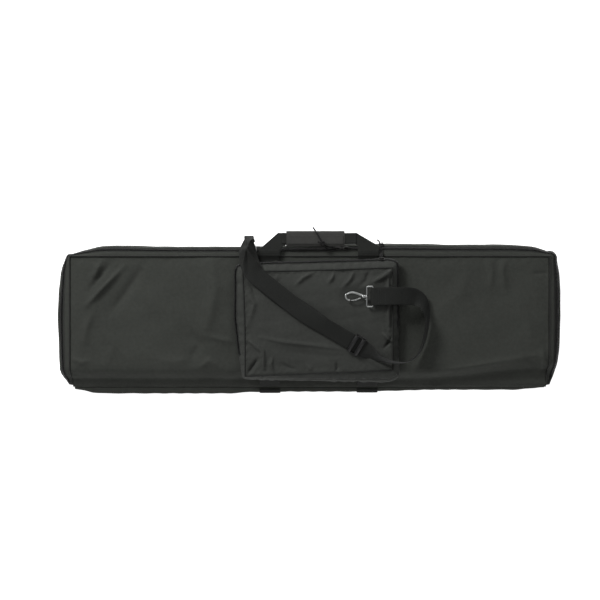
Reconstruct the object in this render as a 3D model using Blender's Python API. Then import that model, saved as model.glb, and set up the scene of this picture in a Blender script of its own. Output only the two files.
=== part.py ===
"""Long soft carry case with a front pocket, two grab handles and a shoulder strap.

The case lies on its back.  Metres, +Z up out of the front, +X along the case, +Y towards
the handles.  The origin is the middle of the flat rear panel's underside.
"""
import math

import bmesh
import bpy
from mathutils import Matrix, Vector

# ---- driving dimensions -------------------------------------------------------------
GAP = 0.0004                # clearance kept between touching pieces
FABRIC = 0.0014             # coated polyester with its backing
TAPE = 0.0010               # zip tape
WEB = 0.0016                # handle webbing
WEB_W = 0.046
HALF_X = 0.522              # panel seam to panel seam is 2 x HALF_X
TOP_Y = 0.133               # seam by the handles
BOTTOM_Y = -0.1505          # rear seam along the bottom edge
HINGE_Y, HINGE_Z = -0.1530, 0.0203      # front bottom seam, on which the lid turns
FRONT_Z = 0.0555            # outside of the front panel
BEND_Y = -0.108             # below this the front panel rolls down to the hinge seam
REAR_T = 0.0032             # rear panel
FOAM = 0.0080
LINING = 0.0008
CORNER_R = 0.001
TOP_BULGE, END_BULGE, CORNER_BULGE = 0.0220, 0.0285, 0.0050
ZIP_ANGLE = 52.0            # place of the zip round the gusset, 90 is the front seam
WEB_X = {"left": -0.0875, "right": 0.1275}
PLATE = 0.0024              # doubled handle webbing
HANDLE_Z = 0.0646           # front handle, lying outwards from the top edge
REAR_HANDLE_Z = 0.0016
RING_X = {"left": -0.137, "right": 0.1275}
RING_Y, RING_Z = 0.1395, 0.0600
RING_WIRE = 0.0016
RING_DEPTH, RING_HALF = 0.0235, 0.0215
STRAP_W, STRAP_T = 0.038, 0.0020
LAYER = 0.0030              # pitch of the two strap layers
SLIDER_X = {"left": 0.0600, "right": 0.0800}
POCKET_SLIDER_X = 0.1540
CORD = 0.0032
HOOK_WIRE = 0.0018
BAR_R = 0.0017


# ---- scene and materials ------------------------------------------------------------
def clear_scene():
    for item in list(bpy.data.objects):
        bpy.data.objects.remove(item, do_unlink=True)


def material(name, colour, roughness, metallic=0.0):
    mat = bpy.data.materials.new(name)
    mat.use_nodes = True
    shader = mat.node_tree.nodes["Principled BSDF"]
    shader.inputs["Base Color"].default_value = (*colour, 1.0)
    shader.inputs["Roughness"].default_value = roughness
    shader.inputs["Metallic"].default_value = metallic
    return mat


def finishes():
    grey, dark, black = (0.041, 0.042, 0.038), (0.020, 0.021, 0.020), (0.012, 0.012, 0.012)
    return {
        "fabric": (grey, 0.78, 0.0), "lining": (black, 0.85, 0.0), "foam": (dark, 0.95, 0.0),
        "webbing": (dark, 0.72, 0.0), "tape": (dark, 0.80, 0.0), "coil": (black, 0.45, 0.0),
        "cord": (black, 0.70, 0.0), "plastic": (black, 0.42, 0.0),
        "steel": ((0.36, 0.38, 0.38), 0.32, 1.0),
    }


def add_object(name, mesh, finish, smooth=False):
    obj = bpy.data.objects.new(name, mesh)
    bpy.context.scene.collection.objects.link(obj)
    obj.data.materials.clear()
    obj.data.materials.append(material(name + "_finish", *finishes()[finish]))
    if smooth:
        obj.data.shade_smooth()
    return obj


def solid(name, verts, faces, finish, smooth=False):
    """One closed body with its faces turned outwards."""
    mesh = bpy.data.meshes.new(name)
    mesh.from_pydata([tuple(v) for v in verts], [], faces)
    work = bmesh.new()
    work.from_mesh(mesh)
    bmesh.ops.recalc_face_normals(work, faces=work.faces)
    if work.calc_volume(signed=True) < 0.0:
        bmesh.ops.reverse_faces(work, faces=work.faces)
    work.to_mesh(mesh)
    work.free()
    return add_object(name, mesh, finish, smooth)


# ---- generic shapes -----------------------------------------------------------------
def loft(name, rings, finish, closed=False, smooth=False):
    """Join equal rings of points; an open loft is capped, a closed one returns to its start."""
    count = len(rings[0])
    verts = [point for ring in rings for point in ring]
    faces = []
    last = len(rings) if closed else len(rings) - 1
    for i in range(last):
        a, b = i * count, ((i + 1) % len(rings)) * count
        for j in range(count):
            k = (j + 1) % count
            faces.append((a + j, a + k, b + k, b + j))
    if not closed:
        faces.append(tuple(range(count)))
        faces.append(tuple(range((len(rings) - 1) * count, len(rings) * count)))
    return solid(name, verts, faces, finish, smooth)


def box(name, low, high, finish):
    x0, y0, z0 = low
    x1, y1, z1 = high
    rings = [[(x, y0, z0), (x, y1, z0), (x, y1, z1), (x, y0, z1)] for x in (x0, x1)]
    return loft(name, rings, finish)


def thick_line(points, thickness):
    """Both sides of a plane line: the line itself, and its copy pushed inwards (to its right)."""
    inner = []
    for i, (u, v) in enumerate(points):
        before = points[max(i - 1, 0)]
        after = points[min(i + 1, len(points) - 1)]
        du, dv = after[0] - before[0], after[1] - before[1]
        size = math.hypot(du, dv)
        inner.append((u + dv / size * thickness, v - du / size * thickness))
    return list(points), inner


def extrude_x(name, outline, x0, x1, finish):
    """Extrude an outline of (y, z) points along X."""
    rings = [[(x, y, z) for y, z in outline] for x in (x0, x1)]
    return loft(name, rings, finish)


def smooth_path(points, step):
    """Catmull-Rom curve through the points, sampled about every step metres.  Any values
    after the first three coordinates are carried along the same way."""
    found = []
    for i in range(len(points) - 1):
        p0, p1 = points[max(i - 1, 0)], points[i]
        p2, p3 = points[i + 1], points[min(i + 2, len(points) - 1)]
        size = (Vector(p2[:3]) - Vector(p1[:3])).length
        parts = max(1, round(size / step))
        for k in range(parts):
            t = k / parts
            found.append(tuple(0.5 * (2 * b + (c - a) * t + (2 * a - 5 * b + 4 * c - d) * t * t
                                      + (3 * b - a - 3 * c + d) * t ** 3)
                               for a, b, c, d in zip(p0, p1, p2, p3)))
    found.append(tuple(points[-1]))
    return found


def ribbon(name, centres, across, width, thickness, finish):
    """A flat strip along centres; across holds the direction of its width at each one."""
    rings = []
    for i, centre in enumerate(centres):
        along = (centres[min(i + 1, len(centres) - 1)] - centres[max(i - 1, 0)]).normalized()
        side = (across[i] - along * across[i].dot(along)).normalized()
        face = along.cross(side)
        w, t = side * width / 2, face * thickness / 2
        rings.append([centre - w - t, centre + w - t, centre + w + t, centre - w + t])
    return loft(name, rings, finish)


def wire(name, points, radius, finish, cyclic=False, sides=2):
    """A round bar along a POLY spline."""
    curve = bpy.data.curves.new(name, "CURVE")
    curve.dimensions = "3D"
    curve.bevel_depth = radius
    curve.bevel_resolution = sides
    curve.use_fill_caps = not cyclic
    spline = curve.splines.new("POLY")
    spline.points.add(len(points) - 1)
    for slot, point in zip(spline.points, points):
        slot.co = (*point[:3], 1.0)
    spline.use_cyclic_u = cyclic
    return add_object(name, curve_mesh(curve, name), finish, True)


def curve_mesh(curve, name):
    guide = bpy.data.objects.new(name + "_guide", curve)
    bpy.context.scene.collection.objects.link(guide)
    bpy.context.view_layer.update()
    mesh = bpy.data.meshes.new_from_object(guide.evaluated_get(
        bpy.context.evaluated_depsgraph_get()))
    bpy.data.objects.remove(guide, do_unlink=True)
    work = bmesh.new()
    work.from_mesh(mesh)
    bmesh.ops.remove_doubles(work, verts=work.verts, dist=1e-6)
    bmesh.ops.recalc_face_normals(work, faces=work.faces)
    if work.calc_volume(signed=True) < 0.0:
        bmesh.ops.reverse_faces(work, faces=work.faces)
    work.to_mesh(mesh)
    work.free()
    return mesh


def plate(name, outline, thickness, finish):
    """Extrude an (x, y) outline upwards from z = 0."""
    rings = [[(x, y, z) for x, y in outline] for z in (0.0, thickness)]
    return loft(name, rings, finish)


def set_origin(obj, point):
    """Put the object's origin on its joint's axis without moving its mesh."""
    offset = Vector(point) - obj.location
    obj.data.transform(Matrix.Translation(-offset))
    obj.location = obj.location + offset


def place(obj, matrix):
    obj.data.transform(matrix)
    return obj


# ---- the shape of the case ----------------------------------------------------------
def front_height(y):
    """Outside of the front panel: flat, then rolling down to the hinge seam."""
    if y >= BEND_Y:
        return FRONT_Z
    t = min((BEND_Y - y) / (BEND_Y - HINGE_Y), 1.0)
    return FRONT_Z - (FRONT_Z - HINGE_Z) * t ** 1.6


def front_line(start, end, lift=0.0):
    """(y, z) points on the front panel from start down to end, lifted off it."""
    steps = 9
    ys = [start, BEND_Y] if start > BEND_Y else [start]
    low = min(start, BEND_Y)
    ys += [low + (end - low) * k / steps for k in range(1, steps + 1)]
    raw = [(y, front_height(y)) for y in ys]
    return thick_line(raw, lift)[1] if lift else raw


def front_sheet(name, start, end, depth, thickness, x0, x1, finish):
    """A layer of the front panel, depth below its outside (negative stands above it)."""
    upper = front_line(start, end, -depth)
    lower = front_line(start, end, -depth - thickness)
    return extrude_x(name, upper + lower[::-1], x0, x1, finish)


def ease(t):
    t = min(max(t, 0.0), 1.0)
    return t * t * (3 - 2 * t)


def gusset_path():
    """Stations round the zipped sides: seam point, outward direction, bulge, height."""
    stations = []
    left, top, start = -HALF_X - GAP, TOP_Y + GAP, BOTTOM_Y + 0.002
    ups = [start, -0.146, -0.139, -0.130, -0.118, -0.104, -0.08, -0.02, 0.03, 0.06, 0.085, 0.106,
           top - CORNER_R]
    for y in ups:
        rise = ease((y - start) / 0.055 + 0.12)
        fall = ease((top - CORNER_R - y) / 0.075)
        bulge = CORNER_BULGE + (END_BULGE - CORNER_BULGE) * min(rise, fall)
        stations.append(((left, y), (-1.0, 0.0), bulge, front_height(y)))
    for k in range(1, 4):
        turn = math.radians(90 * k / 4)
        out = (-math.cos(turn), math.sin(turn))
        point = (left + CORNER_R * (1 + out[0]), top - CORNER_R * (1 - out[1]))
        stations.append((point, out, CORNER_BULGE, FRONT_Z))
    for x in (left + CORNER_R, -0.485, -0.46, -0.435, -0.41, 0.0):
        fall = ease((x - left - CORNER_R) / 0.085)
        bulge = CORNER_BULGE + (TOP_BULGE - CORNER_BULGE) * fall
        stations.append(((x, top), (0.0, 1.0), bulge, FRONT_Z))
    mirrored = [((-p[0], p[1]), (-d[0], d[1]), b, z) for p, d, b, z in reversed(stations[:-1])]
    return stations + mirrored


def gusset_strip(name, low, high, steps, thickness, finish, proud=0.0, base=0.0040):
    """Part of the round gusset between two angles, -90 at the rear seam and 90 at the front."""
    rings = []
    for point, out, bulge, top in gusset_path():
        middle, half = (top + base) / 2, (top - base) / 2
        outer, inner = [], []
        for k in range(steps + 1):
            a = math.radians(low + (high - low) * k / steps)
            normal = Vector((math.cos(a) / bulge, math.sin(a) / half)).normalized()
            away, up = bulge * math.cos(a), middle + half * math.sin(a)
            for row, shift in ((outer, proud), (inner, proud - thickness)):
                u, v = away + normal.x * shift, up + normal.y * shift
                row.append((point[0] + out[0] * u, point[1] + out[1] * u, v))
        rings.append(outer + inner[::-1])
    return loft(name, rings, finish)


# ---- rear shell ---------------------------------------------------------------------
def rear_shell():
    """Outer panel with two shallow channels for the webbing, foam pad and lining."""
    channel = 0.0021
    lower = [(-HALF_X, 0.0)]
    for side in ("left", "right"):
        x = WEB_X[side]
        for dx, z in ((-1, 0.0), (-1, channel), (1, channel), (1, 0.0)):
            lower.append((x + dx * (WEB_W / 2 + 0.0008), z))
    lower.append((HALF_X, 0.0))
    outline = lower + [(HALF_X, REAR_T), (-HALF_X, REAR_T)]
    rings = [[(x, y, z) for x, z in outline] for y in (BOTTOM_Y, TOP_Y)]
    loft("rear_panel", rings, "fabric")
    z = REAR_T + GAP
    box("rear_foam", (-0.516, BOTTOM_Y + 0.006, z), (0.516, TOP_Y - 0.005, z + FOAM), "foam")
    z += FOAM + GAP
    box("rear_lining", (-0.514, BOTTOM_Y + 0.008, z), (0.514, TOP_Y - 0.007, z + LINING), "lining")
    for side, x in WEB_X.items():
        box("rear_webbing_" + side, (x - WEB_W / 2, BOTTOM_Y + 0.002, 0.0),
            (x + WEB_W / 2, TOP_Y - 0.001, WEB), "webbing")
    gusset_strip("rear_gusset", -84, ZIP_ANGLE - 15.5, 7, FABRIC, "fabric")
    gusset_strip("rear_zip_tape", ZIP_ANGLE - 14.5, ZIP_ANGLE - 7.0, 1, TAPE, "tape")
    gusset_strip("rear_zip_coil", ZIP_ANGLE - 6.0, ZIP_ANGLE - 0.8, 2, 0.0022, "coil", 0.0010)


def bottom_arc(radius_y, radius_z, low, high, steps):
    """(y, z) points round the tucked bottom gusset, from the floor side up to the hinge."""
    middle_y, middle_z = BOTTOM_Y - 0.0008, 0.0111
    found = []
    for k in range(steps + 1):
        a = math.radians(low + (high - low) * k / steps)
        found.append((middle_y - radius_y * math.cos(a), middle_z + radius_z * math.sin(a)))
    return found


def bottom_gusset():
    """The narrow strip of bottom gusset left showing, pinched in at both ends."""
    rings = []
    for x in (-0.518, -0.512, -0.50, -0.48, -0.44, 0.44, 0.48, 0.50, 0.512, 0.518):
        full = 0.0045 + 0.0055 * ease((0.518 - abs(x)) / 0.070)
        outer = bottom_arc(full, 0.0080, -80, 80, 8)
        inner = bottom_arc(full - FABRIC, 0.0080 - FABRIC, -80, 80, 8)
        rings.append([(x, y, z) for y, z in outer + inner[::-1]])
    loft("bottom_gusset", rings, "fabric")
    for side, x in WEB_X.items():
        outer = bottom_arc(0.0100 + GAP + WEB, 0.0080 + GAP + WEB, -78, 58, 8)
        inner = bottom_arc(0.0100 + GAP, 0.0080 + GAP, -78, 58, 8)
        extrude_x("bottom_webbing_" + side, outer + inner[::-1], x - WEB_W / 2, x + WEB_W / 2,
                  "webbing")


# ---- front shell --------------------------------------------------------------------
def front_shell():
    front_sheet("front_panel", TOP_Y, HINGE_Y, 0.0, FABRIC, -HALF_X, HALF_X, "fabric")
    depth = FABRIC + GAP
    front_sheet("front_foam", TOP_Y - 0.005, -0.140, depth, FOAM, -0.516, 0.516, "foam")
    depth += FOAM + GAP
    front_sheet("front_lining", TOP_Y - 0.007, -0.132, depth, LINING, -0.514, 0.514, "lining")
    gusset_strip("front_gusset", ZIP_ANGLE + 15.5, 86, 2, FABRIC, "fabric")
    gusset_strip("front_zip_tape", ZIP_ANGLE + 7.0, ZIP_ANGLE + 14.5, 1, TAPE, "tape")
    gusset_strip("front_zip_coil", ZIP_ANGLE + 0.8, ZIP_ANGLE + 6.0, 2, 0.0022, "coil", 0.0010)
    for side, x in WEB_X.items():
        front_sheet("front_webbing_" + side, TOP_Y - 0.001, HINGE_Y + 0.0025, -GAP - WEB, WEB,
                    x - WEB_W / 2, x + WEB_W / 2, "webbing")


# ---- pocket -------------------------------------------------------------------------
POCKET = {"left": -0.156, "right": 0.182, "top": 0.1170, "bottom": -0.1275}
POCKET_CORNER = 0.0145
POCKET_BASE = 0.0026        # seam allowance over the webbing below it
POCKET_TOP_Z = 0.0885
POCKET_SEAM_IN = 0.0120     # the face seam lies inside the base seam
POCKET_BULGE = 0.0165


def pocket_ring():
    """Stations round the pocket at its base seam, with the outward direction at each."""
    p, r = POCKET, POCKET_CORNER
    low, high = p["bottom"] + r, p["top"] - r
    corners = [(p["right"] - r, low, -90), (p["right"] - r, high, 0),
               (p["left"] + r, high, 90), (p["left"] + r, low, 180)]
    sides = {-90: (p["right"], 1.0, low, high), 90: (p["left"], -1.0, high, low)}
    found = []
    for x, y, start in corners:
        for k in range(5):
            a = math.radians(start + 90 * k / 4)
            out = (math.cos(a), math.sin(a))
            found.append(((x + r * out[0], y + r * out[1]), out))
        if start in sides:
            side, sign, first, last = sides[start]
            found += [((side, first + (last - first) * t), (sign, 0.0)) for t in (0.15, 0.5, 0.85)]
    return found


def pocket_wall(name, low, high, steps, thickness, finish, proud=0.0):
    """Part of the pocket's gusset between two fractions of its height."""
    rings = []
    for point, out in pocket_ring():
        base = front_height(point[1] - out[1] * 0.003) + POCKET_BASE
        side = [Vector((-POCKET_SEAM_IN * t + POCKET_BULGE * math.sin(math.pi * t),
                        base + (POCKET_TOP_Z - FABRIC - GAP - base) * t))
                for t in (low + (high - low) * k / steps for k in range(steps + 1))]
        outer, inner = [], []
        for k, spot in enumerate(side):
            along = side[min(k + 1, steps)] - side[max(k - 1, 0)]
            normal = Vector((along.y, -along.x)).normalized()
            for row, shift in ((outer, proud), (inner, proud - thickness)):
                u = spot + normal * shift
                row.append((point[0] + out[0] * u.x, point[1] + out[1] * u.x, u.y))
        rings.append(outer + inner[::-1])
    return loft(name, rings, finish, closed=True)


def pocket():
    """A flat pouch: wall sewn to the front panel, zip round it, narrow rim and face."""
    pocket_wall("pocket_gusset", 0.0, 0.44, 5, FABRIC, "fabric")
    pocket_wall("pocket_zip_tape", 0.46, 0.55, 1, TAPE, "tape")
    pocket_wall("pocket_zip_coil", 0.57, 0.69, 2, 0.0020, "coil", 0.0008)
    pocket_wall("pocket_rim_tape", 0.71, 0.80, 1, TAPE, "tape")
    pocket_wall("pocket_rim", 0.82, 1.0, 2, FABRIC, "fabric")
    r = POCKET_CORNER - POCKET_SEAM_IN
    x0, x1 = POCKET["left"] + POCKET_SEAM_IN, POCKET["right"] - POCKET_SEAM_IN
    y0, y1 = POCKET["bottom"] + POCKET_SEAM_IN, POCKET["top"] - POCKET_SEAM_IN
    outline = []
    for x, y, start in ((x1 - r, y0 + r, -90), (x1 - r, y1 - r, 0), (x0 + r, y1 - r, 90),
                        (x0 + r, y0 + r, 180)):
        for k in range(4):
            a = math.radians(start + 30 * k)
            outline.append((x + r * math.cos(a), y + r * math.sin(a)))
    face = plate("pocket_panel", outline, FABRIC, "fabric")
    place(face, Matrix.Translation((0, 0, POCKET_TOP_Z - FABRIC)))


# ---- handles ------------------------------------------------------------------------
GRIP_Y = (0.1605, 0.1845)


def handle_outline():
    """Two legs of webbing mitred into a straight grip folded to half width."""
    near, inside, outside = TOP_Y + 0.0016, GRIP_Y[0], GRIP_Y[1]
    left, right = WEB_X["left"] - WEB_W / 2, WEB_X["right"] + WEB_W / 2
    inner_left, inner_right = WEB_X["left"] + WEB_W / 2, WEB_X["right"] - WEB_W / 2
    return [(left, near), (left, near + 0.014), (inner_left - 0.004, outside), (0.098, outside),
            (right, near + 0.022), (right, near), (inner_right, near),
            (inner_right, inside - 0.003), (inner_right - 0.003, inside), (inner_left + 0.012, inside),
            (inner_left + 0.006, inside - 0.006), (inner_left, near)][::-1]


def sleeve(name, x0, x1, y, z, half_y, half_z, hole_y, hole_z, finish):
    """A soft tube along X with an oblong hole through it."""
    outer, inner = [], []
    for k in range(16):
        a = 2 * math.pi * k / 16
        c, s = math.cos(a), math.sin(a)
        squarer = 1.0 / max(abs(c), abs(s)) ** 0.55
        outer.append((y + half_y * c * squarer, z + half_z * s * squarer))
        inner.append((y + hole_y * c * squarer, z + hole_z * s * squarer))
    rings = [[(x0, *p) for p in outer], [(x1, *p) for p in outer],
             [(x1, *p) for p in inner], [(x0, *p) for p in inner]]
    return loft(name, rings, finish, closed=True)


def handles():
    front = plate("front_handle_webbing", handle_outline(), PLATE, "webbing")
    place(front, Matrix.Translation((0, 0, HANDLE_Z - PLATE / 2)))
    set_origin(front, (0.0, TOP_Y, HANDLE_Z))
    rear = plate("rear_handle_webbing", handle_outline(), PLATE, "webbing")
    place(rear, Matrix.Translation((0, 0, REAR_HANDLE_Z - PLATE / 2)))
    set_origin(rear, (0.0, TOP_Y, REAR_HANDLE_Z))
    middle = (GRIP_Y[0] + GRIP_Y[1]) / 2
    wrap = sleeve("handle_wrap", -0.050, 0.0775, middle, HANDLE_Z, 0.0160, 0.0050, 0.0140, 0.0022,
                  "fabric")
    wrap.parent = front
    wrap.matrix_parent_inverse = Matrix.Translation(front.location).inverted()


# ---- D-rings ------------------------------------------------------------------------
def d_ring_points(x):
    """Straight bar at the tab, then arms and a round end pointing out over the edge."""
    found = [(x - RING_HALF, RING_Y, RING_Z), (x, RING_Y, RING_Z), (x + RING_HALF, RING_Y, RING_Z)]
    shoulder = RING_Y + RING_DEPTH * 0.40
    for k in range(9):
        a = math.pi * k / 8
        found.append((x + RING_HALF * math.cos(a),
                      shoulder + (RING_Y + RING_DEPTH - shoulder) * math.sin(a), RING_Z))
    return found


def d_rings():
    for side, x in RING_X.items():
        ring = wire("d_ring_" + side, d_ring_points(x), RING_WIRE, "steel", cyclic=True)
        set_origin(ring, (x, RING_Y, RING_Z))
        turn = RING_WIRE + 0.0003 + 0.0005
        tail = 0.1292
        centres = [Vector((x, tail, RING_Z - 0.0009)), Vector((x, RING_Y - 0.005, RING_Z - 0.0012)),
                   Vector((x, RING_Y - 0.0016, RING_Z - turn))]
        for k in range(7):
            a = math.radians(-90 + 30 * k)
            centres.append(Vector((x, RING_Y + turn * math.cos(a), RING_Z + turn * math.sin(a))))
        centres += [Vector((p.x, p.y, 2 * RING_Z - p.z)) for p in reversed(centres[:3])]
        ribbon("d_ring_tab_" + side, centres, [Vector((1, 0, 0))] * len(centres), 0.036, 0.0010,
               "webbing")


# ---- snap hooks ---------------------------------------------------------------------
FRAME_HALF = 0.0215
FRAME_LONG = 0.0130
HOOK_NOSE = 0.0265


def hook_frame(name, matrix):
    """Square wire loop that the strap is sewn round; local +X points to the hook's nose."""
    r = 0.002
    corners = [(0, -FRAME_HALF), (FRAME_LONG, -FRAME_HALF), (FRAME_LONG, FRAME_HALF), (0, FRAME_HALF)]
    points = []
    for (x, y), (sx, sy) in zip(corners, ((1, 1), (-1, 1), (-1, -1), (1, -1))):
        pair = [(x, y + sy * r, 0.0), (x + sx * r, y, 0.0)]
        points += pair if (sx, sy) in ((1, 1), (-1, -1)) else pair[::-1]
    frame = wire(name, points, BAR_R, "steel", cyclic=True)
    return place(frame, matrix)


def hook_body(name, matrix):
    """Swivel barrel and open hook in one casting; the gate closes the -Y side."""
    neck, end = FRAME_LONG + BAR_R + 0.0004, FRAME_LONG + BAR_R + 0.0084
    length = HOOK_NOSE + 0.0085
    upper = [(end + length * t, 0.0086 * math.sin(math.pi * (0.10 + 0.86 * t ** 0.8)) ** 0.8)
             for t in (0.0, 0.15, 0.3, 0.45, 0.6, 0.75, 0.88)]
    nose = end + length
    tip = [(nose - 0.0008, 0.0040), (nose, -0.0002), (nose - 0.0012, -0.0042),
           (nose - 0.0050, -0.0072), (nose - 0.0092, -0.0078)]
    points = [(neck, 0.0, 0.0), (neck + 0.004, 0.0, 0.0)] + [(x, y, 0.0) for x, y in upper + tip]
    hook = wire(name, points, HOOK_WIRE, "steel")
    return place(hook, matrix)


def hook_gate(name, matrix):
    """Thin sprung lever from the neck to the hook's open tip."""
    start = FRAME_LONG + BAR_R + 0.0118
    end = FRAME_LONG + BAR_R + 0.0084 + HOOK_NOSE + 0.0085 - 0.0116
    rise = 0.0036
    outline = [(start, -0.0030), (start + 0.003, -0.0045), (end, -0.0088), (end, -0.0068),
               (start + 0.004, -0.0030), (start + 0.001, -0.0018)][::-1]
    gate = plate(name, outline, rise, "steel")
    gate.data.transform(Matrix.Translation((0, 0, -rise / 2)))
    place(gate, matrix)
    set_origin(gate, matrix @ Vector((start, -0.0024, 0.0)))
    return gate


# ---- shoulder strap -----------------------------------------------------------------
HOOK_BAR = Vector((0.1345, 0.0460, 0.1000))         # bar of the free hook, on the pocket
SIDE_BAR = Vector((RING_X["left"], 0.1738, 0.0110))  # bar of the hook clipped to the ring
SIDE_NOSE = Vector((RING_X["left"], 0.1626, 0.0667))
SIDE_SWIVEL = 45.0
RUN_START, RUN_END = Vector((0.0260, -0.0145, 0.1015)), Vector((0.1180, -0.0680, 0.1015))
RUN_ROLL = 22.0             # straight stretch that the adjuster slides on
ADJUSTER_AT = 0.80          # its place along that stretch
RETURN_END_X = 0.030        # the strap's sewn end, under the upper layer


def side_axes():
    """The clipped hook's directions: towards its nose, and out from the case."""
    nose = (SIDE_NOSE - SIDE_BAR).normalized()
    away = Vector((0.0, nose.z, -nose.y))
    return nose, away


def side_route():
    """Down to the clipped hook's bar, through its frame, round the bar, and up outside."""
    nose, away = side_axes()
    spots = [(0.0096, 0.050), (0.0100, 0.040), (0.0094, 0.030), (0.0070, 0.0215), (0.0042, 0.0160),
             (0.0028, 0.0105), (0.0, 0.0064), (-0.0027, 0.0030), (-0.0032, 0.0), (-0.0023, -0.0023),
             (0.0, -0.0032), (0.0023, -0.0023), (0.0033, 0.0), (0.0048, 0.0050), (0.0068, 0.0110),
             (0.0088, 0.0175), (0.0112, 0.0240), (0.0130, 0.0320), (0.0134, 0.0420), (0.0128, 0.052)]
    return [SIDE_BAR + away * p + nose * q for p, q in spots]


def strap_route():
    """Upper layer from the case's top edge over the pocket, then the loop: x, y, z, roll."""
    run = [tuple(RUN_START.lerp(RUN_END, t)) + (RUN_ROLL,) for t in (0.0, 0.17, 0.85, 1.0)]
    return [(-0.1370, 0.1662, 0.0785, 0), (-0.1362, 0.1480, 0.0825, 0), (-0.1335, 0.1310, 0.0860, 0),
            (-0.1285, 0.1130, 0.0925, 0), (-0.1180, 0.0935, 0.0948, 0), (-0.0919, 0.0718, 0.0948, 0),
            (-0.0554, 0.0429, 0.0948, 0), (-0.0222, 0.0171, 0.0955, 3), (0.0080, -0.0035, 0.0990, 14),
            *run, (0.1330, -0.0768, 0.1025, 34), (0.1500, -0.0860, 0.1080, 56),
            (0.1760, -0.0935, 0.1085, 78), (0.2040, -0.0945, 0.0970, 84), (0.2255, -0.0850, 0.0840, 80),
            (0.2400, -0.0670, 0.0780, 75), (0.2490, -0.0390, 0.0780, 72), (0.2535, -0.0090, 0.0780, 70),
            (0.2515, 0.0150, 0.0775, 60), (0.2440, 0.0330, 0.0770, 42), (0.2300, 0.0435, 0.0800, 20),
            (0.2130, 0.0470, 0.0905, 5), (0.1930, 0.0475, 0.1000, 0), (0.1700, 0.0470, 0.1035, 0),
            (0.1480, 0.0464, 0.1033, 0)]


def with_across(samples):
    """Centres and width directions; the roll lifts the edge on the left of the travel."""
    centres, across = [], []
    for i, sample in enumerate(samples):
        before, after = samples[max(i - 1, 0)], samples[min(i + 1, len(samples) - 1)]
        heading = Vector((after[0] - before[0], after[1] - before[1], 0.0)).normalized()
        level = Vector((-heading.y, heading.x, 0.0))
        roll = math.radians(sample[3])
        centres.append(Vector(sample[:3]))
        across.append(level * math.cos(roll) + Vector((0, 0, math.sin(roll))))
    return centres, across


def shoulder_strap():
    """One length of webbing.  From its sewn end it runs up the diagonal as the lower layer,
    round the clipped hook's bar, down again as the upper layer, and through the adjuster and
    the loop to the free hook."""
    upper, across = with_across(smooth_path(strap_route(), 0.009))
    lower = []
    for i in range(next(k for k, c in enumerate(upper) if c.x > RETURN_END_X)):
        along = (upper[i + 1] - upper[max(i - 1, 0)]).normalized()
        lower.append(upper[i] - along.cross(across[i]).normalized() * LAYER)
    bend = side_route()
    centres = lower[::-1] + bend + upper
    sides = across[:len(lower)][::-1] + [Vector((1.0, 0.0, 0.0))] * len(bend) + across
    turn = BAR_R + 0.0005 + STRAP_T / 2
    for k in range(5):
        a = math.radians(90 + 45 * k)
        centres.append(HOOK_BAR + Vector((turn * math.cos(a), 0.0, turn * math.sin(a))))
    centres += [HOOK_BAR + Vector((0.008, 0.0, -turn * 0.9)), HOOK_BAR + Vector((0.030, 0.0, -turn * 0.5))]
    sides += [Vector((0.0, -1.0, 0.0))] * 7
    ribbon("shoulder_strap", centres, sides, STRAP_W, STRAP_T, "webbing")


def axes_matrix(origin, x_axis, y_axis):
    z_axis = x_axis.cross(y_axis).normalized()
    turn = Matrix((x_axis, y_axis, z_axis)).transposed().to_4x4()
    return Matrix.Translation(origin) @ turn


def strap_fittings():
    """Adjuster, the free hook on the pocket and the hook clipped to the left ring."""
    along = (RUN_END - RUN_START).normalized()
    level = Vector((-along.y, along.x, 0.0))
    roll = math.radians(RUN_ROLL)
    across = level * math.cos(roll) + Vector((0, 0, math.sin(roll)))
    centre = RUN_START.lerp(RUN_END, ADJUSTER_AT)
    slide = sleeve("strap_adjuster", -0.0125, 0.0125, 0.0, 0.0, 0.0235, 0.0036, 0.0212, 0.0022,
                   "plastic")
    place(slide, axes_matrix(centre, along, across))
    set_origin(slide, centre)
    free = axes_matrix(HOOK_BAR, Vector((-1, 0, 0)), Vector((0, 1, 0)))
    hook_frame("free_hook_frame", free)
    hook = hook_body("free_hook_body", free)
    set_origin(hook, HOOK_BAR)
    gate = hook_gate("free_hook_gate", free)
    gate.parent = hook
    gate.matrix_parent_inverse = Matrix.Translation(hook.location).inverted()
    nose, away = side_axes()
    hook_frame("side_hook_frame", axes_matrix(SIDE_BAR, nose, Vector((1, 0, 0))))
    turned = Matrix.Rotation(math.radians(SIDE_SWIVEL), 3, nose) @ Vector((1, 0, 0))
    side = axes_matrix(SIDE_BAR, nose, turned)
    hook_body("side_hook_body", side)
    hook_gate("side_hook_gate", side)


# ---- zip sliders and pull cords -----------------------------------------------------
def slider(name, origin, normal):
    """Slider body with its bridge; local x runs along the zip, z out of it."""
    profile = [(-7.0, 1.4), (7.0, 1.4), (7.0, 3.0), (3.0, 3.0), (3.0, 5.2), (-3.0, 5.2), (-3.0, 3.0),
               (-7.0, 3.0)]
    rings = [[(x / 1000, y, z / 1000) for x, z in profile] for y in (-0.0045, 0.0045)]
    obj = loft(name, rings, "steel")
    x_axis = Vector((1, 0, 0))
    place(obj, axes_matrix(origin, x_axis, normal.cross(x_axis)))
    set_origin(obj, origin)
    return obj


def knot(name, centre, heading):
    """Bead that stands for the overhand knot; both strands pass through it."""
    obj = sleeve(name, -0.0038, 0.0038, 0.0, 0.0, 0.0058, 0.0036, 0.0045, 0.0024, "cord")
    flat = Vector((-heading.y, heading.x, 0.0)).normalized()
    return place(obj, axes_matrix(centre, heading, (flat - heading * flat.dot(heading)).normalized()))


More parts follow.
